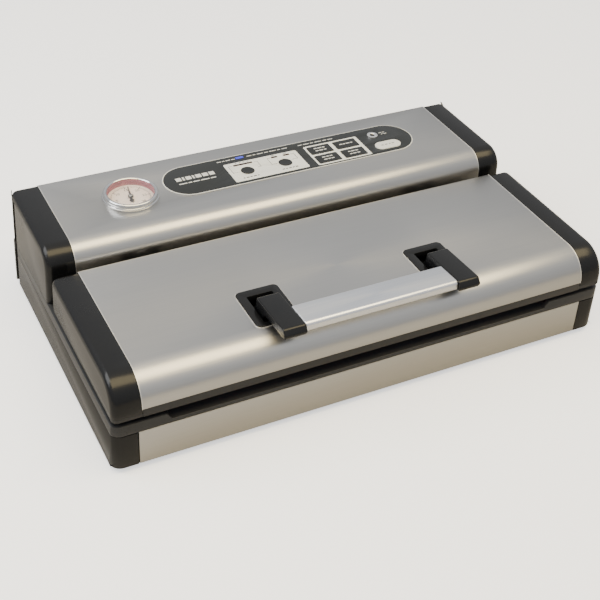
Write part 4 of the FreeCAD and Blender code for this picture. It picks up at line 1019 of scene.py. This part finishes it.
def make_keys():
    """Two round keys, four rectangular ones and the long one."""
    for word in ("left", "right"):
        node = f"select_button_{word}"
        x, y = centre_of(node)
        low, high = limits(node)
        radius, top = (high.x - low.x) / 2, high.z
        rings = [(radius - 0.3, low.z), (radius, low.z + 0.3), (radius, top - 0.5),
                 (radius - 0.15, top - 0.2), (radius - 0.5, top - 0.03), (radius - 1.0, top),
                 (radius - 1.6, top - 0.08), (1.2, top - 0.14)]
        button = turned(f"{node}_cap", x, y, rings, 64)
        smooth(button, 40)
        place(button, node, FINISH["key_cap"])
    for i in range(1, 5):
        node = f"mode_key_{i}"
        low, high = limits(node)
        key = sheet_plate(f"{node}_cap", (low.x, high.x), (low.y, high.y), low.z)
        round_plan(key, 0.8, 4)
        raise_plate(key, high.z - low.z)
        round_edges(key, lambda a, b: min(a.z, b.z) > (high.z - 0.01) * MM, 0.25, 3)
        smooth(key, 40)
        place(key, node, FINISH["key_cap"])
    low, high = limits("cancel_key")
    key = capsule("cancel_key_cap", (low.x, high.x), (low.y, high.y), low.z, high.z - low.z)
    round_edges(key, lambda a, b: min(a.z, b.z) > (high.z - 0.01) * MM, 0.35, 3)
    smooth(key, 40)
    place(key, "cancel_key", FINISH["stop_key"])


def dash(name, x, y, z, height=0.06, corner=0.12):
    """One short printed mark: a thin raised plate with rounded corners."""
    mark = sheet_plate(name, x, y, z)
    round_plan(mark, min(corner, (x[1] - x[0]) / 3, (y[1] - y[0]) / 3), 3)
    raise_plate(mark, height)
    return mark


def dash_row(name, x, y, z, lengths, gap=0.9, tall=1.0):
    """A row of short plain dashes in the place of a line of small print."""
    marks, here = [], x
    for i, long in enumerate(lengths):
        marks.append(dash(f"{name}_{i}", (here, here + long), (y, y + tall), z))
        here += long + gap
    return marks


def path_line(name, points, z, wide=0.28):
    """A thin printed line through points, made of short plates."""
    marks = []
    for i, (start, end) in enumerate(zip(points, points[1:])):
        x = (min(start[0], end[0]) - wide / 2, max(start[0], end[0]) + wide / 2)
        y = (min(start[1], end[1]) - wide / 2, max(start[1], end[1]) + wide / 2)
        marks.append(dash(f"{name}_{i}", x, y, z, 0.05, 0.02))
    return marks


# Thin lines on the white fields, from the round keys to their marks: name, points
FIELD_LINES = (
    ("bracket_a", ((-23.6, 84.4), (-26.4, 84.4), (-26.4, 74.6), (-21.0, 74.6))),
    ("bracket_b", ((-4.8, 84.4), (-2.0, 84.4), (-2.0, 76.2), (-4.6, 76.2))),
    ("bracket_c", ((9.2, 84.7), (6.8, 84.7), (6.8, 75.4), (11.4, 75.4))),
    ("bracket_d", ((27.4, 84.7), (29.8, 84.7), (29.8, 76.6), (24.8, 76.6))),
)

# Rows of dashes in the place of words: name, x, y, lengths of the dashes, gap, height
FIELD_ROWS = (
    ("label_left", -22.0, 64.6, (1.6, 2.4, 1.8, 2.6, 1.4), 0.9, 1.0),
    ("label_right", 11.5, 65.2, (2.0, 1.5, 2.5, 1.7, 2.1), 0.9, 1.0),
    ("scale_left", -19.5, 86.9, (1.1, 1.1, 1.1, 1.1), 2.2, 0.7),
    ("scale_right", 11.4, 87.0, (2.6,), 1.0, 0.7),
    ("scale_far", 21.8, 87.0, (3.0,), 1.0, 0.7),
)
FILM_ROWS = (
    ("small_print", -6.5, 93.9, (4.2, 2.4, 5.4, 3.2, 6.0, 2.6, 4.8), 1.1, 0.9),
    ("small_print_right", 38.4, 93.6, (3.6, 5.2, 2.8, 6.2, 3.4, 4.4), 1.1, 0.9),
    ("lamp_note", -32.0, 93.6, (3.4, 2.2, 4.0, 3.0), 0.9, 0.9),
    ("badge", -71.0, 79.4, (4.4, 1.5, 4.4, 1.5, 4.4, 4.4, 4.4), 1.1, 4.6),
    ("badge_line", -70.6, 74.6, (6.4, 3.0, 5.2, 7.0, 4.6), 1.0, 1.2),
    ("port_note", 109.4, 87.6, (2.6, 2.0), 0.8, 0.8),
    ("port_note_low", 110.4, 85.2, (1.6, 2.4), 0.8, 0.8),
)

# Dashes on the rectangular keys: heights of the rows over the middle, lengths of the dashes
KEY_ROWS = (
    ((1.2, -2.4), (2.6, 3.4, 2.2)),
    ((-0.6,), (2.6, 2.0, 3.2, 1.8)),
    ((1.2, -2.4), (3.0, 2.2, 2.4)),
    ((1.2, -2.4), (2.2, 3.0, 2.6)),
)
KEY_GAP = 0.7


def print_marks(name, marks, node, ink):
    """Joins printed marks into one piece that moves with a node."""
    marks = join(name, marks)
    smooth(marks)
    add(marks, frame["nodes"][node]["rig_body"], FINISH[ink])


def make_prints():
    """Everything printed on the control film, its white fields and its keys."""
    film = limits("control_overlay")[1].z
    field = limits("key_fields")[1].z
    dark = []
    for name, points in FIELD_LINES:
        dark += path_line(name, points, field)
    for name, x, y, lengths, gap, tall in FIELD_ROWS:
        dark += dash_row(name, x, y, field, lengths, gap, tall)
    print_marks("dark_printed_marks", dark, "control_overlay", "dark_print")
    pale = []
    for name, x, y, lengths, gap, tall in FILM_ROWS:
        pale += dash_row(name, x, y, film, lengths, gap, tall)
    print_marks("pale_printed_marks", pale, "control_overlay", "pale_print")
    for i, (rows, lengths) in enumerate(KEY_ROWS, start=1):
        node = f"mode_key_{i}"
        x, y = centre_of(node)
        top = limits(node)[1].z
        wide = sum(lengths) + KEY_GAP * (len(lengths) - 1)
        marks = []
        for k, row in enumerate(rows):
            marks += dash_row(f"{node}_mark_{k}", x - wide / 2, y + row, top, lengths, KEY_GAP, 1.2)
        print_marks(f"{node}_marks", marks, node, "pale_print")
    x, y = centre_of("cancel_key")
    top = limits("cancel_key")[1].z
    marks = dash_row("cancel_mark", x - 6.0, y - 0.7, top, (2.0, 2.6, 1.6, 2.2), 1.1, 1.4)
    print_marks("cancel_key_marks", marks, "cancel_key", "grey_print")


def make_lamps():
    """Windows over the lamps: a long and two short dark ones, and a lit blue one."""
    body = frame["nodes"]["control_overlay"]["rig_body"]
    top = limits("status_lamps")[1].z
    windows = [dash("lamp_window_long", (-22.2, -6.2), (83.5, 85.5), top, 0.12, 0.3),
               dash("lamp_window_a", (10.4, 15.6), (83.9, 85.9), top, 0.12, 0.3),
               dash("lamp_window_b", (20.8, 26.0), (83.7, 85.7), top, 0.12, 0.3)]
    windows = join("dark_lamp_windows", windows)
    ease(windows, 0.04)
    add(windows, body, FINISH["lamp_off"])
    lit = dash("blue_lamp_window", (-16.0, -9.4), (93.1, 95.7), top - 0.1, 0.2, 0.5)
    ease(lit, 0.05)
    add(lit, body, FINISH["lamp_blue"])


def make_port():
    """The hose port: a turned tube with a flange."""
    x, y = centre_of("accessory_port")
    low, high = limits("accessory_port")
    top = high.z
    rings = [(2.0, low.z), (2.0, top - 0.4), (2.3, top - 0.08), (2.8, top), (4.0, top), (4.3, top - 0.15),
             (4.4, top - 0.9), (3.3, top - 0.9), (3.3, low.z + 6.0), (2.6, low.z + 6.0), (2.6, low.z + 0.5),
             (2.45, low.z), (2.0, low.z)]
    port = turned("accessory_port_turned", x, y, rings, 64, closed=True)
    smooth(port, 30)
    place(port, "accessory_port", FINISH["port_steel"])


# ---------------------------------------------------------------- gauge

BEZEL_SEAT, BEZEL_MOUTH = 19.45, 17.7
SWEEP = 270.0                # degrees from the dial's first tick to its last
TICKS, NUMBERS = 60, 6
NUMBER_RING = 10.7


def dial_mark(name, x, y, angle, inner, outer, wide, z):
    """A tick on the dial, drawn upwards from the middle and turned clockwise by the angle."""
    mark = sheet_plate(name, (x - wide / 2, x + wide / 2), (y + inner, y + outer), z)
    raise_plate(mark, 0.05)
    everything(mark)
    bpy.ops.transform.rotate(value=angle, orient_axis="Z", center_override=(x * MM, y * MM, z * MM))
    finish_edit()
    return mark


def dial_number(text, x, y, z, tall):
    """A dial number as a thin raised mesh."""
    deselect()
    bpy.ops.object.text_add(location=(x * MM, y * MM, z * MM))
    words = bpy.context.object
    words.data.body = text
    words.data.size = tall * MM
    words.data.align_x = "CENTER"
    words.data.align_y = "CENTER"
    words.data.extrude = 0.02 * MM
    bpy.ops.object.convert(target="MESH")
    words = bpy.context.object
    words.name = f"dial_number_{text}"
    bpy.ops.object.transform_apply(location=True, rotation=True, scale=True)
    return words


def make_gauge_rim(x, y):
    """The polished rim: a flange on the housing, a waist and a rounded lip over the lens."""
    low, high = limits("gauge_bezel")
    foot, top = low.z, high.z
    wide = (high.x - low.x) / 2
    rings = [(BEZEL_SEAT, foot), (wide, foot), (wide, foot + 0.9), (wide - 0.25, foot + 1.25),
             (wide - 0.7, foot + 1.4), (wide - 0.75, foot + 2.5), (wide - 1.0, top - 0.9),
             (wide - 1.5, top - 0.25), (wide - 2.1, top), (wide - 2.7, top - 0.05),
             (wide - 3.2, top - 0.35), (BEZEL_MOUTH + 0.05, top - 0.7), (BEZEL_MOUTH, top - 0.8),
             (BEZEL_SEAT, top - 0.8), (BEZEL_SEAT, foot)]
    rim = turned("gauge_rim", x, y, rings, 96, closed=True)
    smooth(rim, 30)
    place(rim, "gauge_bezel", FINISH["gauge_steel"])


def make_dial(x, y):
    """The cup behind the dial, and the dial card with its ticks and numbers."""
    low, high = limits("gauge_case")
    dial_z = limits("gauge_dial")[1].z
    outer = (high.x - low.x) / 2
    inner = outer - 1.7
    rings = [(outer - 0.8, low.z), (outer, low.z + 0.8), (outer, high.z - 0.2), (outer - 0.2, high.z),
             (inner + 0.3, high.z), (inner, high.z - 0.3), (inner, high.z - 2.2),
             (inner + 0.35, high.z - 2.4), (inner + 0.35, dial_z + 0.8), (inner, dial_z + 0.6),
             (inner, dial_z - 1.0)]
    cup = turned("gauge_cup", x, y, rings, 96)
    smooth(cup, 30)
    place(cup, "gauge_case", FINISH["gauge_case"])

    rings = [(inner - 0.1, dial_z - 1.0), (inner - 0.1, dial_z - 0.1), (inner - 0.2, dial_z),
             (inner - 1.2, dial_z), (inner - 1.3, dial_z - 0.06)]
    card = turned("dial_disc", x, y, rings, 96)
    smooth(card, 30)
    place(card, "gauge_dial", FINISH["dial_white"])

    marks = []
    for step in range(TICKS + 1):
        angle = math.radians(SWEEP / 2 - SWEEP / TICKS * step)
        if step % 10 == 0:
            inside, wide = 12.9, 0.7
        elif step % 5 == 0:
            inside, wide = 13.7, 0.34
        else:
            inside, wide = 14.2, 0.34
        marks.append(dial_mark(f"tick_{step}", x, y, angle, inside, 15.2, wide, dial_z - 0.06))
    for step in range(NUMBERS + 1):
        angle = math.radians(90 + SWEEP / 2 - SWEEP / NUMBERS * step)
        across, along = NUMBER_RING * math.cos(angle), NUMBER_RING * math.sin(angle)
        marks.append(dial_number(str(5 * step), x + across, y + along, dial_z - 0.02, 3.7))
    print_marks("dial_marks", marks, "gauge_dial", "dark_print")


def make_needle(x, y):
    """The needle and the pin that it turns on."""
    place(refined("gauge_needle", 0.08), "gauge_needle", FINISH["needle_black"])
    top = limits("gauge_needle")[1].z
    rings = [(1.2, top - 0.1), (1.2, top + 0.25), (1.0, top + 0.45), (0.4, top + 0.55)]
    pin = turned("needle_pin", x, y, rings, 32)
    smooth(pin, 40)
    add(pin, frame["nodes"]["gauge_needle"]["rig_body"], FINISH["zinc_steel"])


def make_lens(x, y):
    """The slightly domed lens."""
    low, high = limits("gauge_lens")
    reach = (high.x - low.x) / 2
    rings = [(reach - 0.1, low.z), (reach, low.z + 0.1), (reach, high.z - 0.1), (reach - 0.1, high.z),
             (reach - 1.2, high.z), (12.0, high.z + 0.16), (6.0, high.z + 0.24), (1.0, high.z + 0.26)]
    lens = turned("gauge_glass", x, y, rings, 96)
    smooth(lens, 40)
    place(lens, "gauge_lens", FINISH["lens_clear"])


def make_gauge():
    """The vacuum gauge, part by part."""
    x, y = centre_of("gauge_case")
    make_gauge_rim(x, y)
    make_dial(x, y)
    make_needle(x, y)
    make_lens(x, y)


# ---------------------------------------------------------------- back and small parts

def face_back(piece, x, y, z):
    """Lays a piece turned about the upright at the origin down, so that it points back from (x, y, z)."""
    for turn in (90, 180):
        everything(piece)
        bpy.ops.transform.rotate(value=math.radians(turn), orient_axis="X", center_override=(0, 0, 0))
        finish_edit()
        heights = [vertex.co.y for vertex in piece.data.vertices]
        if max(heights) > -min(heights):
            break
    everything(piece)
    bpy.ops.transform.translate(value=(x * MM, y * MM, z * MM))
    finish_edit()


def make_gland():
    """The cord's entry in the rear panel."""
    low, high = limits("cord_gland")
    long = high.y - low.y
    rings = [(3.6, 0.0), (3.6, long - 0.5), (4.1, long), (6.4, long), (7.2, long - 0.3), (8.0, long - 0.9),
             (8.0, long - 1.5), (5.5, long - 1.5), (5.5, 0.4), (5.1, 0.0), (3.6, 0.0)]
    gland = turned("cord_gland_turned", 0, 0, rings, 64, closed=True)
    smooth(gland, 30)
    face_back(gland, (low.x + high.x) / 2, low.y, (low.z + high.z) / 2)
    place(gland, "cord_gland", FINISH["black_frame"])


def make_lid_screws():
    """Four screws that hold the lid frame to the lid's end caps."""
    low, high = limits("lid_screws")
    rings = [(2.6, low.z), (3.0, low.z + 0.3), (3.0, low.z + 1.2), (1.5, low.z + 1.3), (1.5, high.z)]
    screws = [cross_screw(f"lid_screw_{x}_{y}", x, y, rings) for x, y in LID_SCREWS]
    screw_set = join("lid_screw_set", screws)
    smooth(screw_set)
    place(screw_set, "lid_screws", FINISH["zinc_steel"])


def make_small_parts():
    """Inner parts that keep their CAD shape, with eased edges."""
    for node, width in (("hinge_pins", 0.3), ("heating_element", 0.05), ("seal_tape", 0.06),
                        ("key_switches", 0.2), ("pump_bracket", 0.3), ("gauge_stem", 0.3),
                        ("control_board", 0.15)):
        place(refined(node, width), node, FINISH.get(SLOT_OF[node]) or FINISH["switch_black"])


# ---------------------------------------------------------------- finish what stays as it is

def finish_cad_nodes():
    """Gives every CAD piece that still shows its own finish."""
    for name, node in frame["nodes"].items():
        slot = SLOT_OF[name]
        node.data.materials.clear()
        node.data.materials.append(FINISH.get(slot) or FINISH["switch_black"])


# ---------------------------------------------------------------- stage, light and camera

# The floor's tone as the camera sees it, and the darker one that it mirrors into the machine
FLOOR_SEEN = (0.94, 0.94, 0.94)
FLOOR_MIRRORED = (0.46, 0.45, 0.44)
FLOOR_GLOW = 1.1
WORLD_LOW, WORLD_MIDDLE, WORLD_HIGH = (0.50, 0.50, 0.50, 1), (0.70, 0.715, 0.73, 1), (1.0, 0.97, 0.92, 1)

# The camera, fitted to the photograph's edges
AZIMUTH, ELEVATION, ROLL = (math.radians(angle) for angle in (-28.21, 34.59, 3.19))
CAMERA_PLACE = (-349.8, -642.4, 566.6)
LENS = 71.8
SHIFT_UP = -0.1


def aim(location, target):
    """The turn that points a light at a target."""
    return (Vector(target) - Vector(location)).to_track_quat("-Z", "Y").to_euler()


def soft_light(name, location, target, wide, tall, power, colour):
    """A rectangular softbox; places are in metres."""
    light = bpy.data.lights.new(name, "AREA")
    light.shape = "RECTANGLE"
    light.size = wide
    light.size_y = tall
    light.energy = power
    light.color = colour
    lamp = bpy.data.objects.new(name, light)
    lamp.location = location
    lamp.rotation_euler = aim(location, target)
    bpy.context.scene.collection.objects.link(lamp)


def make_stage():
    """The pale floor, the studio's even surroundings and two softboxes."""
    deselect()
    bpy.ops.mesh.primitive_plane_add(size=12, location=(0, 0, 0))
    floor = bpy.context.object
    floor.name = "studio_floor"
    material, tree, shader = start_material("pale_floor")
    path = tree.nodes.new("ShaderNodeLightPath")
    tone = mix_colour(tree, path.outputs["Is Camera Ray"], FLOOR_MIRRORED, FLOOR_SEEN)
    tree.links.new(tone, shader.inputs["Base Color"])
    shader.inputs["Roughness"].default_value = 0.9
    shader.inputs["Emission Color"].default_value = (1.0, 1.0, 1.0, 1)
    glow = math_node(tree, "MULTIPLY", path.outputs["Is Camera Ray"], FLOOR_GLOW)
    tree.links.new(glow, shader.inputs["Emission Strength"])
    floor.data.materials.append(material)
    world = bpy.data.worlds.new("studio")
    world.use_nodes = True
    bpy.context.scene.world = world
    tree = world.node_tree
    background = tree.nodes["Background"]
    where = tree.nodes.new("ShaderNodeTexCoord")
    split = tree.nodes.new("ShaderNodeSeparateXYZ")
    ramp = tree.nodes.new("ShaderNodeValToRGB")
    tree.links.new(where.outputs["Generated"], split.inputs[0])
    tree.links.new(split.outputs["Z"], ramp.inputs["Fac"])
    tree.links.new(ramp.outputs["Color"], background.inputs["Color"])
    ramp.color_ramp.elements[0].position = 0.0
    ramp.color_ramp.elements[0].color = WORLD_LOW
    ramp.color_ramp.elements[1].position = 1.0
    ramp.color_ramp.elements[1].color = WORLD_HIGH
    middle = ramp.color_ramp.elements.new(0.57)
    middle.color = WORLD_MIDDLE
    background.inputs["Strength"].default_value = 1.0
    soft_light("overhead_softbox", (0.1, -0.42, 1.4), (0.1, -0.40, 0.0), 2.2, 0.8, 29.0, (1.0, 0.81, 0.44))
    soft_light("left_softbox", (-0.95, 0.25, 0.75), (-0.75, 0.25, 0.0), 0.7, 0.9, 9.0, (0.98, 0.99, 1.0))


def make_camera():
    """The camera at the photograph's viewing angle."""
    back = Vector((math.sin(AZIMUTH) * math.cos(ELEVATION), -math.cos(AZIMUTH) * math.cos(ELEVATION),
                   math.sin(ELEVATION)))
    right = (-back).cross(Vector((0, 0, 1))).normalized()
    up = right.cross(-back)
    tilted_right = right * math.cos(ROLL) + up * math.sin(ROLL)
    tilted_up = up * math.cos(ROLL) - right * math.sin(ROLL)
    turn = Matrix((tilted_right, tilted_up, back)).transposed()
    data = bpy.data.cameras.new("view_camera")
    data.lens = LENS
    data.sensor_width = 36.0
    data.shift_y = SHIFT_UP
    camera = bpy.data.objects.new("view_camera", data)
    camera.location = Vector(CAMERA_PLACE) * MM
    camera.rotation_euler = turn.to_euler()
    bpy.context.scene.collection.objects.link(camera)
    bpy.context.scene.camera = camera


make_stage()
make_camera()
make_lid_cover()
make_housing_cover()
make_caps()
make_base()
make_feet()
make_screws()
make_lid_inside()
make_bezels()
make_handle()
make_overlay()
make_keys()
make_prints()
make_lamps()
make_port()
make_gauge()
make_gland()
make_lid_screws()
make_small_parts()
finish_cad_nodes()
